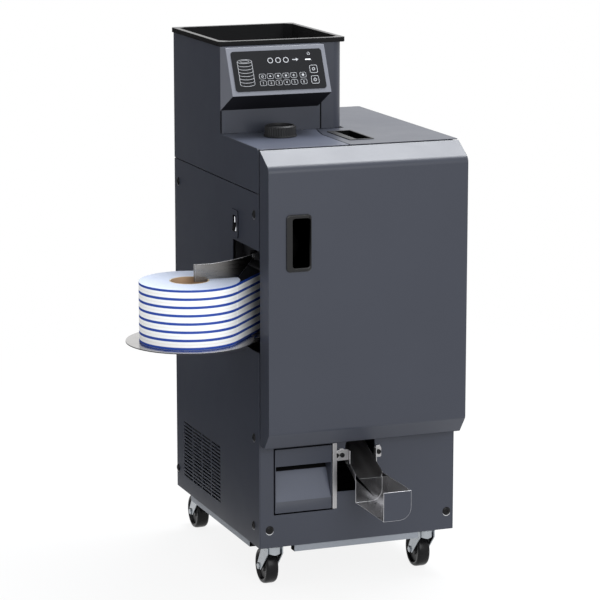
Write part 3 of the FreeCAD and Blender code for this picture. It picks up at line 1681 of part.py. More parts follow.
parts = {
    "cabinet_frame": cabinet_frame(),
    "left_panel": left_panel(),
    "upper_left_panel": upper_left_panel(),
    "right_panel": right_panel(),
    "back_panel": back_panel(),
    "top_deck": top_deck(),
    "tower_front": tower_front(),
    "tower_shell": tower_shell(),
    "hopper": hopper(),
    "console": console(),
    "keypad_overlay": keypad_overlay(),
    "lower_front_panel": lower_front_panel(),
    "panel_screws": panel_screws(),
    "chute_pipe": chute_pipe(),
    "chute_tray": chute_tray(),
    "switch_bezel": switch_bezel(),
    "rocker": rocker(),
    "power_inlet": power_inlet(),
    "fan_frame": fan_frame(),
    "fan_rotor": fan_rotor(),
    "control_board": control_board(),
    "power_supply": power_supply(),
    "door": door(),
    "door_handle": door_handle(),
    "pivot_brackets": pivot_brackets(),
    "lid": lid(),
    "lid_pull": lid_pull(),
    "selector_knob": selector_knob(),
    "reject_box": reject_box(),
    "roll_arm": roll_arm(),
    "roll_disc": roll_disc(),
    "paper_core": paper_core(),
    "paper_roll": paper_roll(),
    "paper_web": paper_web(),
    "hold_arm": hold_arm(),
    "chassis": chassis(),
    "wrap_roller_left": wrap_roller(rollers[0], first_belt),
    "wrap_roller_right": wrap_roller(rollers[1], second_belt),
    "wrap_roller_front": front_roller(),
    "roller_arm": roller_arm(),
    "upper_crimper": crimper(paper_high - 20.0, -1),
    "lower_crimper": crimper(paper_low + 16.0, 1),
    "feed_roller": feed_roller(feeds[0]),
    "pinch_roller": feed_roller(feeds[1]),
    "drive_motor": drive_motor(),
    "motor_pulley": motor_pulley(),
    "drive_belts": drive_belts(),
    "stack_tube": stack_tube(),
    "coin_track": coin_track(),
    "coin_disc": coin_disc(),
    "hopper_motor": hopper_motor(),
    "caster_plates": caster_plates(),
}
for name, (x, y) in caster_places().items():
    parts["fork_" + name] = caster_fork(x, y)
    parts["wheel_" + name] = caster_wheel(x, y)

# The origin goes to the floor under the middle of the whole machine

reach_left = reel[0] - reel_disc_radius
reach_right = right + screw_rise
reach_front = front - tray_reach[1]
reach_back = back - caster_inset + caster_trail + wheel_radius
shift = FreeCAD.Vector(-(reach_left + reach_right) / 2, -(reach_front + reach_back) / 2, 0)

if __name__ == "__main__":
    os.makedirs("parts", exist_ok=True)
    for name, shape in parts.items():
        moved = shape.translated(shift)
        moved.exportStep(os.path.join("parts", name + ".step"))
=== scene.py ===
import json
import math
import random

import bmesh
import bpy
from mathutils import Euler, Matrix, Vector


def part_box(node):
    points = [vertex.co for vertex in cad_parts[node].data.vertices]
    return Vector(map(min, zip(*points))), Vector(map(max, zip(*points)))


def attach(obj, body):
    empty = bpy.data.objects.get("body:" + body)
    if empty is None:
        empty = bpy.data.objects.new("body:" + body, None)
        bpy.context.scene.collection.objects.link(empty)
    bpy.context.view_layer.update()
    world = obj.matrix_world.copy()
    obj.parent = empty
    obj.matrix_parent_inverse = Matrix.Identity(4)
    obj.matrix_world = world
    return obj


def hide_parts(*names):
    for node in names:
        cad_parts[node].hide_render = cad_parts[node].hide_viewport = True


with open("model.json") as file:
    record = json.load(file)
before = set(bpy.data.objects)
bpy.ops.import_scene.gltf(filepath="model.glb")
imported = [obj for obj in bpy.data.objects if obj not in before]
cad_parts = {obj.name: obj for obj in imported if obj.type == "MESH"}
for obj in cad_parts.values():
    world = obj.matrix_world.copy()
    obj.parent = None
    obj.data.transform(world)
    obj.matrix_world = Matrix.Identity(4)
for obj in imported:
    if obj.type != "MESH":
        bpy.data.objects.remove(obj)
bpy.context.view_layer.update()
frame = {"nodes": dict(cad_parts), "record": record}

random.seed(7)
MM = 0.001

# Camera, held against the cabinet's low front left corner
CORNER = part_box("left_panel")[0]
CAMERA_OFFSET = Vector((-1.8598, -5.1118, 1.630))
CAMERA_TURN = (78.45, 0.0, -20.86)
CAMERA_LENS = 166.5
SENSOR = 36.0

# Colours, linear
SLATE = (0.034, 0.038, 0.052)
FRAME_GREY = (0.18, 0.187, 0.215)
CHEEK_GREY = (0.15, 0.155, 0.18)
SHADE_GREY = (0.010, 0.010, 0.013)
BLACK = (0.006, 0.006, 0.0065)
SOFT_BLACK = (0.010, 0.010, 0.011)
SHADE_AND_PIT_BLACK = (0.002, 0.002, 0.002)
RUBBER = (0.006, 0.006, 0.0065)
STEEL = (0.52, 0.51, 0.50)
DARK_STEEL = (0.38, 0.375, 0.38)
TRAY_STEEL = (0.27, 0.268, 0.275)
ZINC = (0.38, 0.405, 0.43)
ALUMINIUM = (0.62, 0.63, 0.67)
PAINTED_HIGHLIGHT_STEEL = (0.62, 0.62, 0.64)
HOLD_LIGHT = (0.27, 0.262, 0.255)
HOLD_DARK = (0.03, 0.029, 0.028)
FRAME_ZINC = (0.34, 0.35, 0.37)
INSIDE_GREY = (0.020, 0.020, 0.022)
RAIL = (0.225, 0.24, 0.265)
PAPER = (0.93, 0.93, 0.93)
WOUND_LIGHT = (0.66, 0.71, 0.82)
WOUND_DARK = (0.50, 0.56, 0.70)
STRIPE = (0.001, 0.045, 0.33)
CREAM = (0.80, 0.74, 0.60)
BOARD = (0.50, 0.33, 0.20)
BOARD_EDGE = (0.66, 0.56, 0.40)
PANEL_FILM = (0.008, 0.0085, 0.010)
PRINT_WHITE = (0.50, 0.51, 0.53)
LAMP_AND_HIGHLIGHT_WHITE = (0.85, 0.86, 0.88)
CIRCUIT_GREEN = (0.015, 0.11, 0.05)

# Floor and room
FLOOR_COLOUR = (0.80, 0.80, 0.80)
FLOOR_GLOW = 0.87
FLOOR_SIZE = 14.0
FADE_START = 0.9
FADE_END = 2.6
ROOM_COLOUR = (0.95, 0.97, 1.0)
ROOM_LIGHT = 0.75

record = frame["record"]
BODY_OF = {n: b for b, nodes in record["behaviour"]["bodies"].items() for n in nodes}
SLOT_OF = {s["node"]: s["material_slot"] for s in record["subparts"]}


def at(x, y, z):
    """A place given in millimetres to the right of, behind and above the cabinet's corner."""
    return CORNER + Vector((x, y, z)) * MM


# Small helpers for nodes and meshes

class Graph:
    """A material's node tree with short calls to add and link nodes."""

    def __init__(self, name):
        self.material = bpy.data.materials.new(name)
        self.material.use_nodes = True
        self.tree = self.material.node_tree
        self.tree.nodes.clear()
        self.output = self.tree.nodes.new("ShaderNodeOutputMaterial")
        self.shader = self.tree.nodes.new("ShaderNodeBsdfPrincipled")
        self.link(self.shader, "BSDF", self.output, "Surface")

    def node(self, kind, **values):
        """A new node, its sockets and settings given by name."""
        made = self.tree.nodes.new("ShaderNode" + kind)
        for key, value in values.items():
            if key in made.inputs:
                made.inputs[key].default_value = value
            else:
                setattr(made, key, value)
        return made

    def link(self, source, output, target, socket):
        self.tree.links.new(source.outputs[output], target.inputs[socket])

    def place(self, scale=(1, 1, 1), turn=(0, 0, 0)):
        """Object coordinates, stretched and turned."""
        coordinates = self.node("TexCoord")
        mapping = self.node("Mapping")
        mapping.inputs["Scale"].default_value = scale
        mapping.inputs["Rotation"].default_value = [math.radians(a) for a in turn]
        self.link(coordinates, "Object", mapping, "Vector")
        return mapping

    def noise(self, where, scale, detail=3.0, rough=0.55):
        """Cloudy noise at the given coordinates."""
        made = self.node("TexNoise", Scale=scale, Detail=detail, Roughness=rough)
        self.link(where, "Vector", made, "Vector")
        return made

    def ramp(self, source, output, stops):
        """A colour ramp with (position, colour) stops."""
        made = self.node("ValToRGB")
        ramp = made.color_ramp
        while len(ramp.elements) < len(stops):
            ramp.elements.new(0.5)
        for element, (position, colour) in zip(ramp.elements, stops):
            element.position = position
            element.color = (*colour, 1.0)
        self.link(source, output, made, "Fac")
        return made

    def grey(self, source, output, low, high, start=0.3, end=0.7):
        """A value carried from the range start to end to the range low to high."""
        made = self.node("MapRange")
        made.inputs["From Min"].default_value = start
        made.inputs["From Max"].default_value = end
        made.inputs["To Min"].default_value = low
        made.inputs["To Max"].default_value = high
        self.link(source, output, made, "Value")
        return made

    def bump(self, source, output, strength, distance):
        made = self.node("Bump", Strength=strength, Distance=distance)
        self.link(source, output, made, "Height")
        return made

    def set(self, **values):
        """Constants on the shader's own sockets."""
        for key, value in values.items():
            socket = self.shader.inputs[key.replace("_", " ")]
            socket.default_value = (*value, 1.0) if isinstance(value, tuple) else value


def shade(colour, factor):
    """A colour made darker or lighter."""
    return tuple(min(1.0, c * factor) for c in colour)


def paint(name, colour, roughness=0.37, specular=0.35):
    """Powder-coated sheet: fine orange peel, with faint clouds of tone and gloss."""
    g = Graph(name)
    where = g.place()
    cloud = g.noise(where, 5.0, 3.0)
    tone = g.ramp(cloud, "Fac", [(0.25, shade(colour, 0.97)), (0.75, shade(colour, 1.03))])
    g.link(tone, "Color", g.shader, "Base Color")
    gloss = g.noise(where, 9.0, 3.0)
    level = g.grey(gloss, "Fac", roughness - 0.02, roughness + 0.03)
    g.link(level, "Result", g.shader, "Roughness")
    peel = g.noise(where, 900.0, 2.0)
    raised = g.bump(peel, "Fac", 0.12, 0.00003)
    g.link(raised, "Normal", g.shader, "Normal")
    g.set(Specular_IOR_Level=specular)
    return g.material


def plastic(name, colour, roughness=0.45, grain=1400.0, depth=0.00003, specular=0.5):
    """Moulded plastic with a fine spark-eroded grain."""
    g = Graph(name)
    where = g.place()
    cloud = g.noise(where, 16.0, 3.0)
    tone = g.ramp(cloud, "Fac", [(0.3, shade(colour, 0.9)), (0.7, shade(colour, 1.1))])
    g.link(tone, "Color", g.shader, "Base Color")
    fine = g.noise(where, grain, 2.0)
    level = g.grey(fine, "Fac", roughness - 0.04, roughness + 0.05)
    g.link(level, "Result", g.shader, "Roughness")
    raised = g.bump(fine, "Fac", 0.15, depth)
    g.link(raised, "Normal", g.shader, "Normal")
    g.set(Specular_IOR_Level=specular)
    return g.material


def brushed(name, colour, roughness=0.28, stretch=(4, 300, 300), turn=(0, 0, 0), contrast=0.08):
    """Brushed metal: long fine scratches along one direction, with cloudy gloss."""
    g = Graph(name)
    lines = g.noise(g.place(stretch, turn), 1.0, 3.0, 0.6)
    dull = shade(colour, 1 - contrast)
    bright = shade(colour, 1 + contrast / 2)
    tone = g.ramp(lines, "Fac", [(0.3, dull), (0.7, bright)])
    g.link(tone, "Color", g.shader, "Base Color")
    cloud = g.noise(g.place(), 14.0, 3.0)
    level = g.grey(cloud, "Fac", roughness - 0.05, roughness + 0.07)
    g.link(level, "Result", g.shader, "Roughness")
    raised = g.bump(lines, "Fac", 0.05, 0.00001)
    g.link(raised, "Normal", g.shader, "Normal")
    g.set(Metallic=1.0)
    return g.material


def painted_shade_steel(name, light, dark, from_x, to_x):
    """Polished steel with long fine scratches, darkening along X as painted shade and painted dark
    reflection.
    """
    g = Graph(name)
    coordinates = g.node("TexCoord")
    split = g.node("SeparateXYZ")
    g.link(coordinates, "Object", split, "Vector")
    along = g.grey(split, "X", 0.0, 1.0, from_x, to_x)
    stops = [(0.0, light), (0.12, shade(light, 0.7)), (0.7, dark), (1.0, shade(dark, 0.5))]
    tone = g.ramp(along, "Result", stops)
    g.link(tone, "Color", g.shader, "Base Color")
    lines = g.noise(g.place((6, 300, 300)), 1.0, 3.0, 0.6)
    level = g.grey(lines, "Fac", 0.24, 0.34)
    g.link(level, "Result", g.shader, "Roughness")
    raised = g.bump(lines, "Fac", 0.03, 0.00001)
    g.link(raised, "Normal", g.shader, "Normal")
    g.set(Metallic=1.0)
    return g.material


def zinc(name, colour, roughness=0.26):
    """Bright zinc plating with faint clouds and handling marks."""
    g = Graph(name)
    where = g.place()
    cloud = g.noise(where, 60.0, 4.0)
    tone = g.ramp(cloud, "Fac", [(0.3, shade(colour, 0.9)), (0.7, shade(colour, 1.05))])
    g.link(tone, "Color", g.shader, "Base Color")
    level = g.grey(cloud, "Fac", roughness - 0.08, roughness + 0.10)
    g.link(level, "Result", g.shader, "Roughness")
    raised = g.bump(cloud, "Fac", 0.1, 0.00003)
    g.link(raised, "Normal", g.shader, "Normal")
    g.set(Metallic=1.0)
    return g.material


def rubber(name, colour, roughness=0.42, specular=0.5):
    """Moulded rubber with faint flow marks and dust in its grain."""
    g = Graph(name)
    where = g.place()
    cloud = g.noise(where, 45.0, 4.0)
    tone = g.ramp(cloud, "Fac", [(0.3, shade(colour, 0.85)), (0.7, shade(colour, 1.3))])
    g.link(tone, "Color", g.shader, "Base Color")
    level = g.grey(cloud, "Fac", roughness - 0.06, roughness + 0.08)
    g.link(level, "Result", g.shader, "Roughness")
    fine = g.noise(where, 900.0, 2.0)
    raised = g.bump(fine, "Fac", 0.15, 0.00004)
    g.link(raised, "Normal", g.shader, "Normal")
    g.set(Specular_IOR_Level=specular)
    return g.material


def striped_paper(name, low, pitch, stripe, cream):
    """White paper with blue stripes at a steady pitch up its width and thin cream lines between."""
    g = Graph(name)
    coordinates = g.node("TexCoord")
    split = g.node("SeparateXYZ")
    g.link(coordinates, "Object", split, "Vector")
    start = g.node("Math", operation="SUBTRACT")
    g.link(split, "Z", start, 0)
    start.inputs[1].default_value = low
    steps = g.node("Math", operation="DIVIDE")
    g.link(start, "Value", steps, 0)
    steps.inputs[1].default_value = pitch
    share = g.node("Math", operation="FRACT")
    g.link(steps, "Value", share, 0)
    half = stripe / pitch / 2
    fine = cream / pitch / 2
    soft = 0.004
    bands = g.ramp(share, "Value", [
        (0.0, STRIPE),
        (half, STRIPE),
        (half + soft, PAPER),
        (0.5 - fine - soft, PAPER),
        (0.5 - fine, CREAM),
        (0.5 + fine, CREAM),
        (0.5 + fine + soft, PAPER),
        (1 - half - soft, PAPER),
        (1 - half, STRIPE),
        (1.0, STRIPE),
    ])
    fibres = g.noise(g.place(), 900.0, 3.0)
    tint = g.ramp(fibres, "Fac", [(0.3, (0.95, 0.95, 0.945)), (0.7, (1.0, 1.0, 1.0))])
    mix = g.node("Mix", data_type="RGBA", blend_type="MULTIPLY")
    mix.inputs["Factor"].default_value = 1.0
    g.tree.links.new(bands.outputs["Color"], mix.inputs[6])
    g.tree.links.new(tint.outputs["Color"], mix.inputs[7])
    g.tree.links.new(mix.outputs[2], g.shader.inputs["Base Color"])
    layers = g.noise(g.place(), 420.0, 2.0)
    raised = g.bump(layers, "Fac", 0.15, 0.00005)
    g.link(raised, "Normal", g.shader, "Normal")
    level = g.grey(fibres, "Fac", 0.52, 0.66)
    g.link(level, "Result", g.shader, "Roughness")
    return g.material


def wound_edge(name, centre, colour, dark, pitch):
    """The edge of wound layers: fine rings about an upright axis."""
    g = Graph(name)
    coordinates = g.node("TexCoord")
    shift = g.node("VectorMath", operation="SUBTRACT")
    g.link(coordinates, "Object", shift, 0)
    shift.inputs[1].default_value = (centre[0], centre[1], 0.0)
    flat = g.node("VectorMath", operation="MULTIPLY")
    g.link(shift, "Vector", flat, 0)
    flat.inputs[1].default_value = (1.0, 1.0, 0.0)
    radius = g.node("VectorMath", operation="LENGTH")
    g.link(flat, "Vector", radius, 0)
    turns = g.node("Math", operation="DIVIDE")
    g.link(radius, "Value", turns, 0)
    turns.inputs[1].default_value = pitch
    line = g.node("TexNoise", noise_dimensions="1D", Scale=1.0, Detail=3.0)
    g.link(turns, "Value", line, "W")
    tone = g.ramp(line, "Fac", [(0.3, dark), (0.65, colour)])
    g.link(tone, "Color", g.shader, "Base Color")
    raised = g.bump(line, "Fac", 0.6, 0.0002)
    g.link(raised, "Normal", g.shader, "Normal")
    g.set(Roughness=0.8)
    return g.material


def printed(name, colour, strength=0.0):
    """Screen-printed ink, slightly uneven."""
    g = Graph(name)
    cloud = g.noise(g.place(), 700.0, 2.0)
    tone = g.ramp(cloud, "Fac", [(0.3, shade(colour, 0.9)), (0.7, colour)])
    g.link(tone, "Color", g.shader, "Base Color")
    g.set(Roughness=0.45)
    if strength:
        g.set(Emission_Color=colour, Emission_Strength=strength)
    return g.material


# Materials, as name, colour, roughness and what each kind asks for besides

HOLD_LEFT, HOLD_RIGHT = (corner.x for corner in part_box("hold_arm"))

M = {
    "panel_paint": paint("panel_paint", SLATE),
    # The slate paint made lighter for the deck and the scoop's upward faces: painted light from above.
    "deck_painted_light": paint("deck_painted_light", shade(SLATE, 1.9)),
    "console_frame": paint("console_frame", FRAME_GREY),
    "console_cheek": paint("console_cheek", CHEEK_GREY),
    "console_shade": paint("console_shade", SHADE_GREY, 0.6, 0.1),
    "black_plastic": plastic("black_plastic", SOFT_BLACK, 0.5, specular=0.3),
    "hopper_inside": plastic("hopper_inside", BLACK, 0.62, specular=0.12),
    "gloss_black": plastic("gloss_black", BLACK, 0.22, 900.0, 0.00001, 0.35),
    "hopper_rim": plastic("hopper_rim", BLACK, 0.24, 900.0, 0.00001, 0.2),
    "screw_black": plastic("screw_black", BLACK, 0.3, 900.0, 0.00001, 0.15),
    # Near black for dark joints, caps and cards, and painted shade in pockets, the switch's well and under
    # the reject box's band.
    "black_and_painted_shade": plastic("black_and_painted_shade", SHADE_AND_PIT_BLACK, 0.7, specular=0.05),
    "black_steel": paint("black_steel", SOFT_BLACK, 0.34, 0.5),
    "overlay_film": plastic("overlay_film", PANEL_FILM, 0.4, 1600.0, 0.00001, 0.15),
    "stainless_sheet": brushed("stainless_sheet", STEEL, 0.24, (300, 6, 300)),
    "chute_steel": brushed("chute_steel", DARK_STEEL, 0.36, (260, 5, 260), (-24, 0, 0), 0.04),
    "tray_steel": brushed("tray_steel", TRAY_STEEL, 0.26, (260, 5, 260), contrast=0.06),
    # Bright steel for rounded edges and the crescents below the screws: painted highlights.
    "painted_highlight_steel": brushed("painted_highlight_steel", PAINTED_HIGHLIGHT_STEEL, 0.4),
    "stainless_disc": brushed("stainless_disc", shade(STEEL, 0.95), 0.2, (60, 60, 300), contrast=0.04),
    # The arm's colour darkens towards its right end: painted shade and painted reflection.
    "hold_steel": painted_shade_steel("hold_steel", HOLD_LIGHT, HOLD_DARK, HOLD_LEFT, HOLD_RIGHT),
    "zinc_steel": zinc("zinc_steel", ZINC),
    "frame_zinc": zinc("frame_zinc", FRAME_ZINC, 0.42),
    "inside_steel": paint("inside_steel", INSIDE_GREY, 0.5, 0.2),
    "rail_silver": paint("rail_silver", RAIL, 0.4),
    "track_aluminium": brushed("track_aluminium", ALUMINIUM, 0.32, (5, 300, 300)),
    "roller_rubber": rubber("roller_rubber", RUBBER, 0.5, 0.3),
    "caster_rubber": rubber("caster_rubber", RUBBER, 0.26, 0.16),
    "print_white": printed("print_white", PRINT_WHITE),
    # Glowing white for the panel's lamp, also used on the rocker as a painted highlight.
    "lamp_and_painted_highlight": printed("lamp_and_painted_highlight", LAMP_AND_HIGHLIGHT_WHITE, 0.4),
    "circuit_board": plastic("circuit_board", CIRCUIT_GREEN, 0.35, 600.0),
}
SLOT_MATERIAL = {
    "panel_paint": "panel_paint",
    "black_plastic": "black_plastic",
    "black_steel": "black_steel",
    "overlay_film": "overlay_film",
    "stainless": "stainless_sheet",
    "zinc_steel": "frame_zinc",
    "track_aluminium": "track_aluminium",
    "roller_rubber": "roller_rubber",
    "caster_rubber": "caster_rubber",
    "circuit_board": "circuit_board",
}


# Pieces taken over from the frame

def wear(obj, material):
    """Gives an object one material."""
    obj.data.materials.clear()
    obj.data.materials.append(material)


def wear_where(obj, material, test):
    """Gives the faces that pass a test of their middle and normal another material."""
    index = len(obj.data.materials)
    obj.data.materials.append(material)
    for polygon in obj.data.polygons:
        if test(polygon.center, polygon.normal):
            polygon.material_index = index


def piece(name, mesh_maker, body, material):
    """A new object made with bmesh, riding on a body."""
    mesh = bpy.data.meshes.new(name)
    bm = bmesh.new()
    mesh_maker(bm)
    bmesh.ops.recalc_face_normals(bm, faces=bm.faces)
    bm.to_mesh(mesh)
    bm.free()
    obj = bpy.data.objects.new(name, mesh)
    bpy.context.scene.collection.objects.link(obj)
    wear(obj, material)
    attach(obj, body)
    return obj


SHARP = 32.0
MERGE = 2e-6
FLAT = 0.4


def smooth(obj, angle):
    """Smooth shading with the edges over an angle kept sharp."""
    for polygon in obj.data.polygons:
        polygon.use_smooth = True
    obj.data.set_sharp_from_angle(angle=math.radians(angle))


def bevel(obj, width):
    """Rounds every sharp edge and keeps the flat faces evenly shaded."""
    modifier = obj.modifiers.new("edge", "BEVEL")
    modifier.width = width
    modifier.segments = 2
    modifier.limit_method = "ANGLE"
    modifier.angle_limit = math.radians(SHARP)
    modifier.use_clamp_overlap = False
    even = obj.modifiers.new("shading", "WEIGHTED_NORMAL")
    even.mode = "FACE_AREA"
    even.weight = 80
    smooth(obj, 180.0)


def soften(node, width, material=None):
    """A copy of a CAD node with its edges rounded off, standing for the node."""
    source = frame["nodes"][node]

    def copy(bm):
        bm.from_mesh(source.data)
        bmesh.ops.remove_doubles(bm, verts=bm.verts, dist=MERGE)
        bmesh.ops.dissolve_limit(bm, angle_limit=math.radians(FLAT), verts=bm.verts, edges=bm.edges)

    slot = SLOT_OF[node]
    chosen = M[material or SLOT_MATERIAL[slot]]
    obj = piece(node + "_dressed", copy, BODY_OF[node], chosen)
    bevel(obj, width)
    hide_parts(node)
    return obj


# Nodes with rounded edges, and the width of the rounding in metres

SOFTENED = {
    "door": 0.0008, "lid": 0.0006, "top_deck": 0.0006, "console": 0.0009, "left_panel": 0.0005,
    "upper_left_panel": 0.0006, "right_panel": 0.0005, "back_panel": 0.0005, "tower_front": 0.0004,
    "tower_shell": 0.0005, "lower_front_panel": 0.0005, "reject_box": 0.0006, "cabinet_frame": 0.0006,
    "door_handle": 0.0022, "lid_pull": 0.0006, "switch_bezel": 0.0007, "rocker": 0.0006,
    "chute_pipe": 0.0005, "chute_tray": 0.0006, "roll_arm": 0.0005, "hopper": 0.0008,
    "selector_knob": 0.0004, "panel_screws": 0.0005, "hold_arm": 0.0004,
    "roll_disc": 0.0004, "power_inlet": 0.0006, "caster_plates": 0.0006,
}
SOFTENED_MATERIAL = {
    "switch_bezel": "panel_paint",
    "rocker": "gloss_black",
    "hopper": "hopper_rim",
    "door_handle": "gloss_black",
    "selector_knob": "black_plastic",
    "panel_screws": "screw_black",
    "chute_pipe": "chute_steel",
    "chute_tray": "tray_steel",
    "top_deck": "deck_painted_light",
    "hold_arm": "hold_steel",
    "roll_disc": "stainless_disc",
    "caster_plates": "zinc_steel",
}
dressed = {}
for node, width in SOFTENED.items():
    dressed[node] = soften(node, width, SOFTENED_MATERIAL.get(node))
for node, obj in frame["nodes"].items():
    if node not in SOFTENED and SLOT_OF[node] in SLOT_MATERIAL:
        wear(obj, M[SLOT_MATERIAL[SLOT_OF[node]]])
for node in ("chassis", "stack_tube", "pivot_brackets", "power_supply"):
    wear(frame["nodes"][node], M["inside_steel"])


def bright_edges(obj):
    """Gives the rounded edges of a sheet piece a bright steel, a painted highlight along them."""
    obj.data.materials.append(M["painted_highlight_steel"])
    obj.modifiers["edge"].material = len(obj.data.materials) - 1


bright_edges(dressed["chute_pipe"])
bright_edges(dressed["chute_tray"])
bright_edges(dressed["hold_arm"])

# Console: pale border on the sloping face, lighter cheeks, and painted shade on the underside

NOSE = at(0, 151.0, 909.0)
FACE_UP = Vector((0, 44.0, 94.0)).normalized()
FACE_OUT = Vector((0, -FACE_UP.z, FACE_UP.y))
console = dressed["console"]
wear_where(console, M["console_frame"], lambda c, n: n.dot(FACE_OUT) > 0.99)
# Painted shade: the faces under the console get a near-black paint.
wear_where(console, M["console_shade"], lambda c, n: n.z < -0.5 and c.z < NOSE.z)
wear_where(console, M["console_cheek"], lambda c, n: abs(n.x) > 0.9)

# Panel print: outlined keys, plain numbers and simple signs

PANEL = Matrix((
    (1, 0, 0, NOSE.x),
    (0, FACE_UP.y, FACE_OUT.y, NOSE.y),
    (0, FACE_UP.z, FACE_OUT.z, NOSE.z),
    (0, 0, 0, 1),
))
FILM_RISE = 1.3
KEY_RISE = 1.7
KEY_LINE = 0.65
KEY_COLUMNS = [69.7, 86.7, 103.7, 120.7, 137.7, 158.0]
KEY_RUNS = [25.0, 39.5]
KEY_SIZE = (14.0, 11.1)
BIG_KEYS = [(183.0, 28.0), (183.0, 51.0)]
BIG_KEY_SIZE = (17.2, 17.2)
LAMP = (174.0, 72.0)
LAMP_SIZE = (11.8, 2.6)


def rounded(centre, size, radius, steps=5):
    """Points of a rounded rectangle on the panel."""
    points = []
    for corner, (sx, sy) in enumerate(((1, 1), (-1, 1), (-1, -1), (1, -1))):
        middle = (centre[0] + sx * (size[0] / 2 - radius), centre[1] + sy * (size[1] / 2 - radius))
        for step in range(steps + 1):
            angle = math.radians(90.0 * (corner + step / steps))
            points.append((middle[0] + radius * math.cos(angle), middle[1] + radius * math.sin(angle)))
    return points


def ellipse(centre, size, steps=28, start=0.0, span=360.0):
    """Points of an ellipse, or of part of one."""
    count = steps if span == 360.0 else steps + 1
    angles = [math.radians(start + span * step / steps) for step in range(count)]
    return [(centre[0] + size[0] / 2 * math.cos(a), centre[1] + size[1] / 2 * math.sin(a)) for a in angles]


def on_panel(points, rise):
    """Places on the sloping face from points across and up it, at a rise over it."""
    return [PANEL @ (Vector((x, run, rise)) * MM) for x, run in points]


def spot(bm, points, rise):
    """A filled patch of print."""
    bm.faces.new([bm.verts.new(p) for p in on_panel(points, rise)])


def loop(bm, outer, inner, rise, closed=True):
    """A printed line between two outlines with as many points."""
    far = [bm.verts.new(p) for p in on_panel(outer, rise)]
    near = [bm.verts.new(p) for p in on_panel(inner, rise)]
    count = len(far)
    for index in range(count if closed else count - 1):
        after = (index + 1) % count
        bm.faces.new((far[index], far[after], near[after], near[index]))


def outline(bm, centre, size, radius, line, rise):
    """The outline of a rounded key."""
    outer = rounded(centre, size, radius)
    inner = rounded(centre, (size[0] - 2 * line, size[1] - 2 * line), max(radius - line, 0.1))
    loop(bm, outer, inner, rise)


def ring(bm, centre, size, line, rise, start=0.0, span=360.0):
    """A ring, or an open part of one."""
    outer = ellipse(centre, size, 28, start, span)
    inner = ellipse(centre, (size[0] - 2 * line, size[1] - 2 * line), 28, start, span)
    loop(bm, outer, inner, rise, span == 360.0)


def numeral(bm, text, centre, height, rise):
    """A plain number laid on the panel."""
    curve = bpy.data.curves.new("numeral", "FONT")
    curve.body = text
    curve.size = height * MM
    curve.align_x = "CENTER"
    curve.align_y = "CENTER"
    holder = bpy.data.objects.new("numeral", curve)
    mesh = bpy.data.meshes.new_from_object(holder)
    mesh.transform(PANEL @ Matrix.Translation(Vector((centre[0], centre[1], rise)) * MM))
    bm.from_mesh(mesh)
    bpy.data.meshes.remove(mesh)
    bpy.data.objects.remove(holder)
    bpy.data.curves.remove(curve)


def key_sign(bm, index, centre, rise):
    """One of six simple signs: ring, triangle, diamond, square, cross, dot."""
    if index == 0:
        ring(bm, centre, (5.4, 4.6), 0.9, rise)
    elif index == 5:
        spot(bm, ellipse(centre, (5.6, 5.0)), rise)
    elif index == 4:
        spot(bm, rounded(centre, (5.6, 1.2), 0.1, 1), rise)
        spot(bm, rounded(centre, (1.2, 5.0), 0.1, 1), rise + 0.05)
    else:
        sides = (3, 4, 4)[index - 1]
        start = (90.0, 90.0, 45.0)[index - 1]
        spot(bm, ellipse(centre, (6.0, 5.4), sides, start), rise)


POWER_ARC = (125.0, 290.0)
RING_ROW = (92.0, 73.0)
RING_STEP = 17.0
ARROW_SHAFT = [(140.0, 74.0), (140.0, 72.0), (148.0, 72.0), (148.0, 74.0)]
ARROW_HEAD = [(148.0, 69.5), (153.5, 73.0), (148.0, 76.5)]
LAMP_SIGN = (177.0, 84.5)
STACK_FOOT = (36.0, 24.0)
STACK_TOP = 73.0
STACK_STEP = 7.0
STACK_DISCS = 8
STACK_SIZE = (32.0, 9.0)
STACK_HOLE = (20.0, 5.2)
STACK_HALF = 15.6


def print_keys(bm):
    """Two rows of outlined keys, with numbers below and signs above, and two big keys."""
    for row, run in enumerate(KEY_RUNS):
        for column, x in enumerate(KEY_COLUMNS):
            outline(bm, (x, run), KEY_SIZE, 3.0, KEY_LINE, KEY_RISE)
            if row == 0:
                numeral(bm, str(column + 1), (x, run), 7.6, KEY_RISE)
            else:
                key_sign(bm, column, (x, run), KEY_RISE)
    for centre in BIG_KEYS:
        outline(bm, centre, BIG_KEY_SIZE, 3.6, 1.0, KEY_RISE)
    ring(bm, BIG_KEYS[1], (6.4, 6.4), 1.3, KEY_RISE)
    ring(bm, BIG_KEYS[0], (7.0, 7.0), 1.3, KEY_RISE, *POWER_ARC)
    spot(bm, rounded((BIG_KEYS[0][0], BIG_KEYS[0][1] + 2.6), (1.3, 4.6), 0.1, 1), KEY_RISE)


def print_signs(bm):
    """Three rings and an arrow along the top, and an open ring over the lamp."""
    for index in range(3):
        ring(bm, (RING_ROW[0] + index * RING_STEP, RING_ROW[1]), (12.0, 12.0), 1.5, FILM_RISE)
    spot(bm, ARROW_SHAFT, FILM_RISE)
    spot(bm, ARROW_HEAD, FILM_RISE)
    ring(bm, LAMP_SIGN, (6.4, 6.0), 0.9, FILM_RISE, *POWER_ARC)
    spot(bm, rounded((LAMP_SIGN[0], 86.8), (0.9, 3.4), 0.1, 1), FILM_RISE)


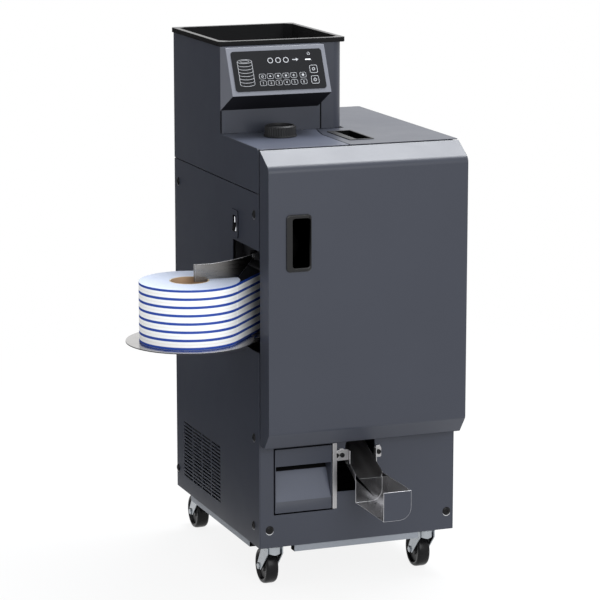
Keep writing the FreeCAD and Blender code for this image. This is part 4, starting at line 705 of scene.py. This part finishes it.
def print_stack(bm):
    """A stack of discs seen from a little above."""
    for level in range(STACK_DISCS):
        centre = (STACK_FOOT[0], STACK_FOOT[1] + STACK_STEP * level)
        if level == STACK_DISCS - 1:
            ring(bm, centre, STACK_SIZE, 0.8, FILM_RISE)
            ring(bm, centre, STACK_HOLE, 0.6, FILM_RISE)
        else:
            ring(bm, centre, STACK_SIZE, 0.8, FILM_RISE, 180.0, 180.0)
    low, high = STACK_FOOT[1], STACK_TOP
    for side in (-1, 1):
        edge = STACK_FOOT[0] + side * STACK_HALF
        spot(bm, [(edge - 0.4, low), (edge + 0.4, low), (edge + 0.4, high), (edge - 0.4, high)], FILM_RISE)


def panel_print(bm):
    print_keys(bm)
    print_signs(bm)
    print_stack(bm)


def panel_lamp(bm):
    spot(bm, rounded(LAMP, LAMP_SIZE, 0.6), KEY_RISE)


piece("panel_print", panel_print, "cabinet", M["print_white"])
piece("panel_lamp", panel_lamp, "cabinet", M["lamp_and_painted_highlight"])

# Dark joints between the tower's sheets

def slab(bm, low, high):
    """A block between two places."""
    made = bmesh.ops.create_cube(bm, size=1.0)["verts"]
    size = high - low
    middle = (high + low) / 2
    for vert in made:
        vert.co = Vector((vert.co.x * size.x, vert.co.y * size.y, vert.co.z * size.z)) + middle


SEAMS = [
    ((0.0, 226.8, 823.5), (2.6, 227.3, 870.5)),
    ((219.4, 226.8, 823.5), (222.0, 227.3, 1002.0)),
]


def seams(bm):
    """Thin dark strips from the low to the high place of each seam."""
    for low, high in SEAMS:
        slab(bm, at(*low), at(*high))


piece("tower_seams", seams, "cabinet", M["black_and_painted_shade"])

# Dark insides of the hopper, and painted shade in the pockets of the handle and the pull

tower_high = at(0, 0, 1003.0).z
rim_foot = tower_high + 0.0095
wear_where(dressed["hopper"], M["hopper_inside"], lambda c, n: c.z < rim_foot and n.z < 0.99)
door_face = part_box("door")[0].y
# Painted shade: the faces in the handle's pocket and the pull's pocket are near black.
wear_where(dressed["door_handle"], M["black_and_painted_shade"], lambda c, n: c.y > door_face + 0.001)
lid_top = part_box("lid")[1].z
wear_where(dressed["lid_pull"], M["black_and_painted_shade"], lambda c, n: c.z < lid_top - 0.001)

# Silver rails under the cabinet, with dark cut ends, and a dark frame inside it

cabinet_low = CORNER.z
left_x = CORNER.x
right_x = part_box("right_panel")[1].x
middle_x = (left_x + right_x) / 2


def is_rail(c):
    """Whether a place is below the cabinet, on the rails."""
    return c.z < cabinet_low - 0.0005


def rail_end(c, n):
    """Whether a face is a cut end of the front, back or side rails."""
    across = abs(n.x) > 0.99 and abs(c.x - middle_x) < 0.15
    along = abs(n.y) > 0.99 and (c.x < left_x + 0.03 or c.x > right_x - 0.03)
    return is_rail(c) and (across or along)


wear_where(dressed["cabinet_frame"], M["rail_silver"], lambda c, n: is_rail(c))
wear_where(dressed["cabinet_frame"], M["inside_steel"], lambda c, n: c.z > cabinet_low + 0.004)
wear_where(dressed["cabinet_frame"], M["black_and_painted_shade"], rail_end)

# The tray's nose is painted as the panels

nose_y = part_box("chute_tray")[0].y
wear_where(dressed["chute_tray"], M["panel_paint"], lambda c, n: n.y < -0.99 and c.y < nose_y + 0.001)


def turned(bm, profile, middle, axis="z", steps=96):
    """A closed turned body from (radius, distance) points about an axis."""
    rings = []
    for step in range(steps):
        angle = 2 * math.pi * step / steps
        c, s = math.cos(angle), math.sin(angle)
        if axis == "z":
            spots = [(r * c, r * s, d) for r, d in profile]
        else:
            spots = [(d, r * c, r * s) for r, d in profile]
        rings.append([bm.verts.new(middle + Vector(p) * MM) for p in spots])
    for index in range(steps):
        here, after = rings[index], rings[(index + 1) % steps]
        for k in range(len(profile)):
            j = (k + 1) % len(profile)
            bm.faces.new((here[k], after[k], after[j], here[j]))


# Paper roll, core and web

roll_low, roll_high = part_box("paper_roll")
ROLL_MIDDLE = Vector(((roll_low.x + roll_high.x) / 2, (roll_low.y + roll_high.y) / 2, roll_low.z))
ROLL_RADIUS = 102.0
CORE_RADIUS = 40.5
CORE_BORE = 38.0
ROLL_WIDTH = 122.0
ROLL_LAYERS = 46
ROLL_EDGE = 0.4
CORE_PLAY = 0.2
STRIPE_ROWS = 7
STRIPE_WIDTH = 0.0052
CREAM_WIDTH = 0.0006
stripe_pitch = (roll_high.z - roll_low.z - STRIPE_WIDTH) / STRIPE_ROWS
stripe_start = roll_low.z + STRIPE_WIDTH / 2
M["paper"] = striped_paper("paper", stripe_start, stripe_pitch, STRIPE_WIDTH, CREAM_WIDTH)
M["paper_edge"] = wound_edge("paper_edge", ROLL_MIDDLE, WOUND_LIGHT, WOUND_DARK, 0.0011)
M["board"] = wound_edge("board", ROLL_MIDDLE, BOARD, shade(BOARD, 0.7), 0.0009)
M["board_edge"] = wound_edge("board_edge", ROLL_MIDDLE, BOARD_EDGE, shade(BOARD_EDGE, 0.8), 0.0006)


def wound_roll(bm):
    """The roll, its layers standing a little up and down at both ends."""
    step = (ROLL_RADIUS - ROLL_EDGE - CORE_RADIUS - CORE_PLAY) / ROLL_LAYERS
    radii = [CORE_RADIUS + CORE_PLAY + step * index for index in range(ROLL_LAYERS + 1)]
    low = [(r, random.uniform(0.0, 0.2)) for r in radii]
    high = [(r, ROLL_WIDTH - random.uniform(0.0, 0.25)) for r in reversed(radii)]
    rim = [(ROLL_RADIUS, ROLL_EDGE), (ROLL_RADIUS, ROLL_WIDTH - ROLL_EDGE)]
    profile = low + rim + high
    turned(bm, profile, ROLL_MIDDLE, steps=128)


roll = piece("paper_roll_dressed", wound_roll, "reel", M["paper"])
wear_where(roll, M["paper_edge"], lambda c, n: abs(n.z) > 0.5)
smooth(roll, 40.0)
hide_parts("paper_roll")


def wound_core(bm):
    """The board core with a slight chamfer at its ends."""
    profile = [
        (CORE_BORE + 0.1, 0.5), (CORE_BORE + 0.6, 0.0), (CORE_RADIUS - 0.3, 0.0), (CORE_RADIUS, 0.4),
        (CORE_RADIUS, ROLL_WIDTH - 0.4), (CORE_RADIUS - 0.3, ROLL_WIDTH),
        (CORE_BORE + 0.6, ROLL_WIDTH), (CORE_BORE + 0.1, ROLL_WIDTH - 0.5),
    ]
    turned(bm, profile, ROLL_MIDDLE, steps=96)


core = piece("paper_core_dressed", wound_core, "reel", M["board"])
wear_where(core, M["board_edge"], lambda c, n: abs(n.z) > 0.5)
smooth(core, 40.0)
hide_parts("paper_core")
wear_where(dressed["roll_disc"], M["inside_steel"], lambda c, n: abs(n.z) < 0.3)

# The free paper runs off the roll, round the guide post and between the feed rollers

WEB_ANGLE = math.radians(49.0)
WEB_POST = (51.85, 101.45)
WEB_POST_REACH = 10.55
WEB_ROLL_REACH = 102.55
WEB_END = 147.5
WEB_WIDTH = 121.5
WEB_THICKNESS = 0.00022
REEL_PLACE = (-121.0, 75.0)
STRAIGHT_STEPS = 24
BEND_STEPS = 8
END_STEPS = 12
WEB_ROWS = 12


def web_path():
    """The middle line of the free paper, in millimetres from the corner."""
    normal = (math.sin(WEB_ANGLE), -math.cos(WEB_ANGLE))
    start = (REEL_PLACE[0] + normal[0] * WEB_ROLL_REACH, REEL_PLACE[1] + normal[1] * WEB_ROLL_REACH)
    touch = (WEB_POST[0] - normal[0] * WEB_POST_REACH, WEB_POST[1] - normal[1] * WEB_POST_REACH)
    points = []
    for step in range(STRAIGHT_STEPS):
        share = step / STRAIGHT_STEPS
        points.append((start[0] + (touch[0] - start[0]) * share, start[1] + (touch[1] - start[1]) * share))
    for step in range(BEND_STEPS + 1):
        angle = math.radians(90.0) + WEB_ANGLE * (1 - step / BEND_STEPS)
        x = WEB_POST[0] + WEB_POST_REACH * math.cos(angle)
        y = WEB_POST[1] + WEB_POST_REACH * math.sin(angle)
        points.append((x, y))
    for step in range(1, END_STEPS + 1):
        x = WEB_POST[0] + (WEB_END - WEB_POST[0]) * step / END_STEPS
        points.append((x, WEB_POST[1] + WEB_POST_REACH))
    return points


def web(bm):
    """The free paper as a sheet of small faces along its path."""
    low = (roll_low.z - CORNER.z) / MM + 0.5
    columns = []
    for x, y in web_path():
        heights = [low + WEB_WIDTH * row / WEB_ROWS for row in range(WEB_ROWS + 1)]
        columns.append([bm.verts.new(at(x, y, height)) for height in heights])
    for here, after in zip(columns, columns[1:]):
        for row in range(WEB_ROWS):
            bm.faces.new((here[row], after[row], after[row + 1], here[row + 1]))


paper_web = piece("paper_web_dressed", web, "cabinet", M["paper"])
thickness = paper_web.modifiers.new("thickness", "SOLIDIFY")
thickness.thickness = WEB_THICKNESS
thickness.offset = 0.0
smooth(paper_web, 60.0)
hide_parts("paper_web")

# Casters: turned wheels, softened forks, front skirts and axle nuts

WHEEL_SIDE = [
    (5.1, 10.6), (11.0, 10.6), (12.0, 9.8), (13.0, 7.6), (25.0, 7.6), (27.0, 8.4), (28.4, 12.4), (29.4, 13.3),
    (33.0, 13.4), (35.4, 12.4), (36.9, 10.0), (37.5, 6.6),
]
FORK_OUTER = 18.0
FORK_TRAIL = 0.035
SKIRT_OUTER = 18.0
SKIRT_INNER = 16.2
SKIRT_TOP = -9.4
SKIRT_DROP = 17.0
SKIRT_RISE = 5.0
SKIRT_START = 200.0
SKIRT_SPAN = 140.0
SKIRT_STEPS = 14
NUT_LEVELS = [(7.4, 0.0), (7.4, 2.0), (6.2, 2.7), (4.4, 2.9)]


def wheel_shape(middle):
    """A maker of a turned wheel, the same on both sides."""
    near = [(r, -d) for r, d in WHEEL_SIDE]
    far = [(r, d) for r, d in reversed(WHEEL_SIDE)]
    return lambda bm: turned(bm, near + far, middle, "x", 72)


def skirt(bm, swivel):
    """A curved skirt across the fork's front, lowest in its middle."""
    rims = []
    for index in range(SKIRT_STEPS + 1):
        angle = math.radians(SKIRT_START + SKIRT_SPAN * index / SKIRT_STEPS)
        foot = SKIRT_TOP - (SKIRT_DROP - SKIRT_RISE * abs(index / SKIRT_STEPS - 0.5) * 2)
        outside = [(SKIRT_OUTER, SKIRT_TOP), (SKIRT_OUTER, foot)]
        inside = [(SKIRT_INNER, foot), (SKIRT_INNER, SKIRT_TOP)]
        ring_verts = []
        for radius, height in outside + inside:
            place = Vector((radius * math.cos(angle), radius * math.sin(angle), height))
            ring_verts.append(bm.verts.new(swivel + place * MM))
        rims.append(ring_verts)
    for here, after in zip(rims, rims[1:]):
        for k in range(4):
            j = (k + 1) % 4
            bm.faces.new((here[k], after[k], after[j], here[j]))
    bm.faces.new(rims[0])
    bm.faces.new(rims[-1])


def nut(bm, axle, side):
    """A domed hexagon nut at one end of the axle."""
    previous = None
    for radius, out in NUT_LEVELS:
        here = []
        for index in range(6):
            angle = math.radians(60.0 * index)
            across = side * FORK_OUTER + side * out
            place = Vector((across, radius * math.cos(angle), radius * math.sin(angle)))
            here.append(bm.verts.new(axle + place * MM))
        if previous:
            for index in range(6):
                after = (index + 1) % 6
                bm.faces.new((previous[index], previous[after], here[after], here[index]))
        else:
            bm.faces.new(here)
        previous = here
    bm.faces.new(previous)


def fork_trim(swivel, axle):
    """A maker of the skirt and the nuts of one caster."""

    def make(bm):
        skirt(bm, swivel)
        for side in (-1, 1):
            nut(bm, axle, side)

    return make


for corner in ("front_left", "front_right", "rear_left", "rear_right"):
    wheel_low, wheel_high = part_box("wheel_" + corner)
    axle = (wheel_low + wheel_high) / 2
    name = "wheel_" + corner
    wheel = piece(name + "_dressed", wheel_shape(axle), name, M["caster_rubber"])
    smooth(wheel, 50.0)
    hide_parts(name)
    fork = "fork_" + corner
    soften(fork, 0.0009, "zinc_steel")
    swivel = Vector((axle.x, axle.y - FORK_TRAIL, CORNER.z))
    trim = piece("fork_trim_" + corner, fork_trim(swivel, axle), fork, M["zinc_steel"])
    bevel(trim, 0.0004)

# Rocker: a pale side that is a painted highlight, and a plain stroke on its upper half, a printed mark that
# also stands for a highlight, in a well of painted shade

STROKE_LOW = (-0.75, 139.0, 653.5)
STROKE_HIGH = (-1.1, 139.0, 665.5)
STROKE_HALF = 2.2


def rocker_mark_and_painted_highlight(bm):
    """A plain upright stroke, a printed mark that glows a little and stands partly for a painted highlight.
    """
    corners = []
    for (x, y, z), sides in ((STROKE_LOW, (-1, 1)), (STROKE_HIGH, (1, -1))):
        for side in sides:
            corners.append(bm.verts.new(at(x - 0.2, y + side * STROKE_HALF, z)))
    bm.faces.new(corners)


piece("rocker_mark_and_painted_highlight", rocker_mark_and_painted_highlight, "rocker", M["lamp_and_painted_highlight"])
# Painted highlight: the rocker's front side is white and glows a little.
wear_where(dressed["rocker"], M["lamp_and_painted_highlight"], lambda c, n: n.y < -0.9)
# Painted shade: the faces in the switch's well are near black.
wear_where(dressed["switch_bezel"], M["black_and_painted_shade"], lambda c, n: c.x > left_x - 0.0018)

# Black heads over the chute's two bolts, each as (radius, place out of the panel) from its foot

BOLTS = [(179.5, 182.0), (260.0, 182.0)]
BOLT_STEPS = 24
BOLT_PROFILE = [(4.9, -1.6), (4.9, -5.0), (4.2, -5.8), (2.4, -5.8), (2.3, -5.2)]


def bolt_heads(bm):
    """A round head with a shallow socket over each bolt."""
    for x, z in BOLTS:
        rings = []
        for radius, y in BOLT_PROFILE:
            spots = []
            for index in range(BOLT_STEPS):
                angle = 2 * math.pi * index / BOLT_STEPS
                place = at(x + radius * math.cos(angle), y, z + radius * math.sin(angle))
                spots.append(bm.verts.new(place))
            rings.append(spots)
        for here, after in zip(rings, rings[1:]):
            for index in range(BOLT_STEPS):
                other = (index + 1) % BOLT_STEPS
                bm.faces.new((here[index], here[other], after[other], after[index]))
        bm.faces.new(rings[-1])


heads = piece("bolt_heads", bolt_heads, "cabinet", M["screw_black"])
smooth(heads, 50.0)
divider_edge = at(162.0, 0, 0).x
wear_where(dressed["chute_pipe"], M["rail_silver"], lambda c, n: c.x < divider_edge)

# Painted highlights: bright crescents below the screws, standing for light on the lower rims of their dimples

GLINT_INNER = 9.1
GLINT_OUTER = 10.6
GLINT_STEPS = 12
GLINT_START = 200.0
GLINT_SPAN = 140.0
GLINT_OUT = -0.3
FRONT_SCREWS = [(22.0, 38.0), (415.0, 39.0)]
LEFT_SCREWS = [(27.0, 688.0), (505.0, 684.0), (31.0, 228.0), (35.0, 42.0), (522.0, 42.0)]


def glint(bm, place):
    """A thin crescent of painted highlight, widest in its middle, below a screw that place() puts on its
    panel.
    """
    rims = []
    for index in range(GLINT_STEPS + 1):
        angle = math.radians(GLINT_START + GLINT_SPAN * index / GLINT_STEPS)
        width = math.sin(math.pi * index / GLINT_STEPS)
        outer = GLINT_INNER + (GLINT_OUTER - GLINT_INNER) * width + 0.05
        pair = []
        for radius in (GLINT_INNER, outer):
            pair.append(bm.verts.new(place(radius * math.cos(angle), radius * math.sin(angle))))
        rims.append(pair)
    for here, after in zip(rims, rims[1:]):
        bm.faces.new((here[0], after[0], after[1], here[1]))


def glints(bm):
    for across, height in FRONT_SCREWS:
        glint(bm, lambda u, z: at(across + u, GLINT_OUT, height + z))
    for across, height in LEFT_SCREWS:
        glint(bm, lambda u, z: at(GLINT_OUT, across + u, height + z))


piece("screw_glints", glints, "cabinet", M["painted_highlight_steel"])

# A painted shadow: a black strip where the reject box's scoop starts under the band

SHADOW_TOP = (34.0, 163.5)
SHADOW_LOW = (27.5, 152.5)
SHADOW_SIDES = (35.5, 156.5)
SHADOW_OUT = 0.4


def scoop_painted_shadow(bm):
    """A black strip over the top of the scoop, a painted shadow under the band."""
    left, right = SHADOW_SIDES
    corners = []
    for x, (y, z) in ((left, SHADOW_TOP), (right, SHADOW_TOP), (right, SHADOW_LOW), (left, SHADOW_LOW)):
        corners.append(bm.verts.new(at(x, y - SHADOW_OUT, z)))
    bm.faces.new(corners)


piece("scoop_painted_shadow", scoop_painted_shadow, "reject_box", M["black_and_painted_shade"])
# Painted light: the scoop's upward faces take the lighter deck paint.
wear_where(dressed["reject_box"], M["deck_painted_light"], lambda c, n: n.y < -0.3 and n.z > 0.15)

# Camera, lights and floor

camera_data = bpy.data.cameras.new("camera")
camera_data.lens = CAMERA_LENS
camera_data.sensor_width = SENSOR
camera = bpy.data.objects.new("camera", camera_data)
camera.location = CORNER + CAMERA_OFFSET
camera.rotation_euler = Euler([math.radians(a) for a in CAMERA_TURN])
bpy.context.scene.collection.objects.link(camera)
bpy.context.scene.camera = camera


def area_light(name, place, aim, size, power, colour):
    """A soft lamp at a place, facing another."""
    data = bpy.data.lights.new(name, "AREA")
    data.shape = "RECTANGLE"
    data.size, data.size_y = size
    data.energy = power
    data.color = colour
    obj = bpy.data.objects.new(name, data)
    obj.location = place
    obj.rotation_euler = (Vector(aim) - Vector(place)).to_track_quat("-Z", "Y").to_euler()
    bpy.context.scene.collection.objects.link(obj)


area_light(
    "overhead", place=(1.0, 0.45, 3.0), aim=(0.15, -0.2, 0.9), size=(2.2, 1.2), power=120,
    colour=(0.95, 0.97, 1.0))
area_light(
    "front", place=(0.1, -4.2, 1.9), aim=(0, 0, 0.6), size=(2.6, 2.2), power=88,
    colour=(0.96, 0.98, 1.0))


def flag(name, middle, size, tilt):
    """A dark card seen in reflections alone, so that the left side stays dark."""
    bpy.ops.mesh.primitive_plane_add(size=1.0, location=middle)
    obj = bpy.context.active_object
    obj.name = name
    obj.scale = (*size, 1.0)
    obj.rotation_euler = (math.radians(tilt), 0.0, 0.0)
    obj.visible_camera = False
    obj.visible_diffuse = False
    obj.visible_shadow = False
    wear(obj, M["black_and_painted_shade"])


def plain_rays(tree):
    """1 for rays from the camera, off gloss and through glass, and 0 for the light in the room."""
    rays = tree.nodes.new("ShaderNodeLightPath")
    last = rays.outputs["Is Camera Ray"]
    for name in ("Is Glossy Ray", "Is Transmission Ray"):
        either = tree.nodes.new("ShaderNodeMath")
        either.operation = "MAXIMUM"
        tree.links.new(last, either.inputs[0])
        tree.links.new(rays.outputs[name], either.inputs[1])
        last = either.outputs[0]
    return last


def floor():
    """A pale floor with a soft shadow that fades out round the machine."""
    bpy.ops.mesh.primitive_plane_add(size=FLOOR_SIZE, location=(0, 0, 0))
    obj = bpy.context.active_object
    obj.name = "floor"
    g = Graph("floor")
    g.set(Base_Color=FLOOR_COLOUR, Roughness=0.9, Specular_IOR_Level=0.1)
    glow = g.node("Emission")
    share = g.node("Math", operation="MULTIPLY")
    share.inputs[1].default_value = FLOOR_GLOW
    g.tree.links.new(plain_rays(g.tree), share.inputs[0])
    pale = g.node("MixShader")
    g.tree.links.new(share.outputs[0], pale.inputs["Fac"])
    g.tree.links.new(g.shader.outputs["BSDF"], pale.inputs[1])
    g.tree.links.new(glow.outputs["Emission"], pale.inputs[2])
    coordinates = g.node("TexCoord")
    length = g.node("VectorMath", operation="LENGTH")
    g.link(coordinates, "Object", length, 0)
    fade = g.grey(length, "Value", 0.0, 1.0, FADE_START, FADE_END)
    clear = g.node("BsdfTransparent")
    mix = g.node("MixShader")
    g.link(fade, "Result", mix, "Fac")
    g.tree.links.new(pale.outputs[0], mix.inputs[1])
    g.tree.links.new(clear.outputs["BSDF"], mix.inputs[2])
    g.link(mix, "Shader", g.output, "Surface")
    wear(obj, g.material)


def room():
    """A room that looks white and lights the machine a little less."""
    world = bpy.data.worlds.new("room")
    bpy.context.scene.world = world
    world.use_nodes = True
    tree = world.node_tree
    tree.nodes.clear()
    blend = tree.nodes.new("ShaderNodeMixShader")
    tree.links.new(plain_rays(tree), blend.inputs["Fac"])
    for socket, colour, strength in ((1, ROOM_COLOUR, ROOM_LIGHT), (2, (1.0, 1.0, 1.0), 1.0)):
        light = tree.nodes.new("ShaderNodeBackground")
        light.inputs["Color"].default_value = (*colour, 1.0)
        light.inputs["Strength"].default_value = strength
        tree.links.new(light.outputs[0], blend.inputs[socket])
    out = tree.nodes.new("ShaderNodeOutputWorld")
    tree.links.new(blend.outputs[0], out.inputs["Surface"])


flag("upright_flag", middle=(-1.55, 1.75, 1.15), size=(2.5, 2.6), tilt=90.0)
flag("floor_flag", middle=(-1.35, 0.95, 0.004), size=(2.3, 1.7), tilt=0.0)
floor()
room()

bpy.context.scene.view_settings.view_transform = "Standard"
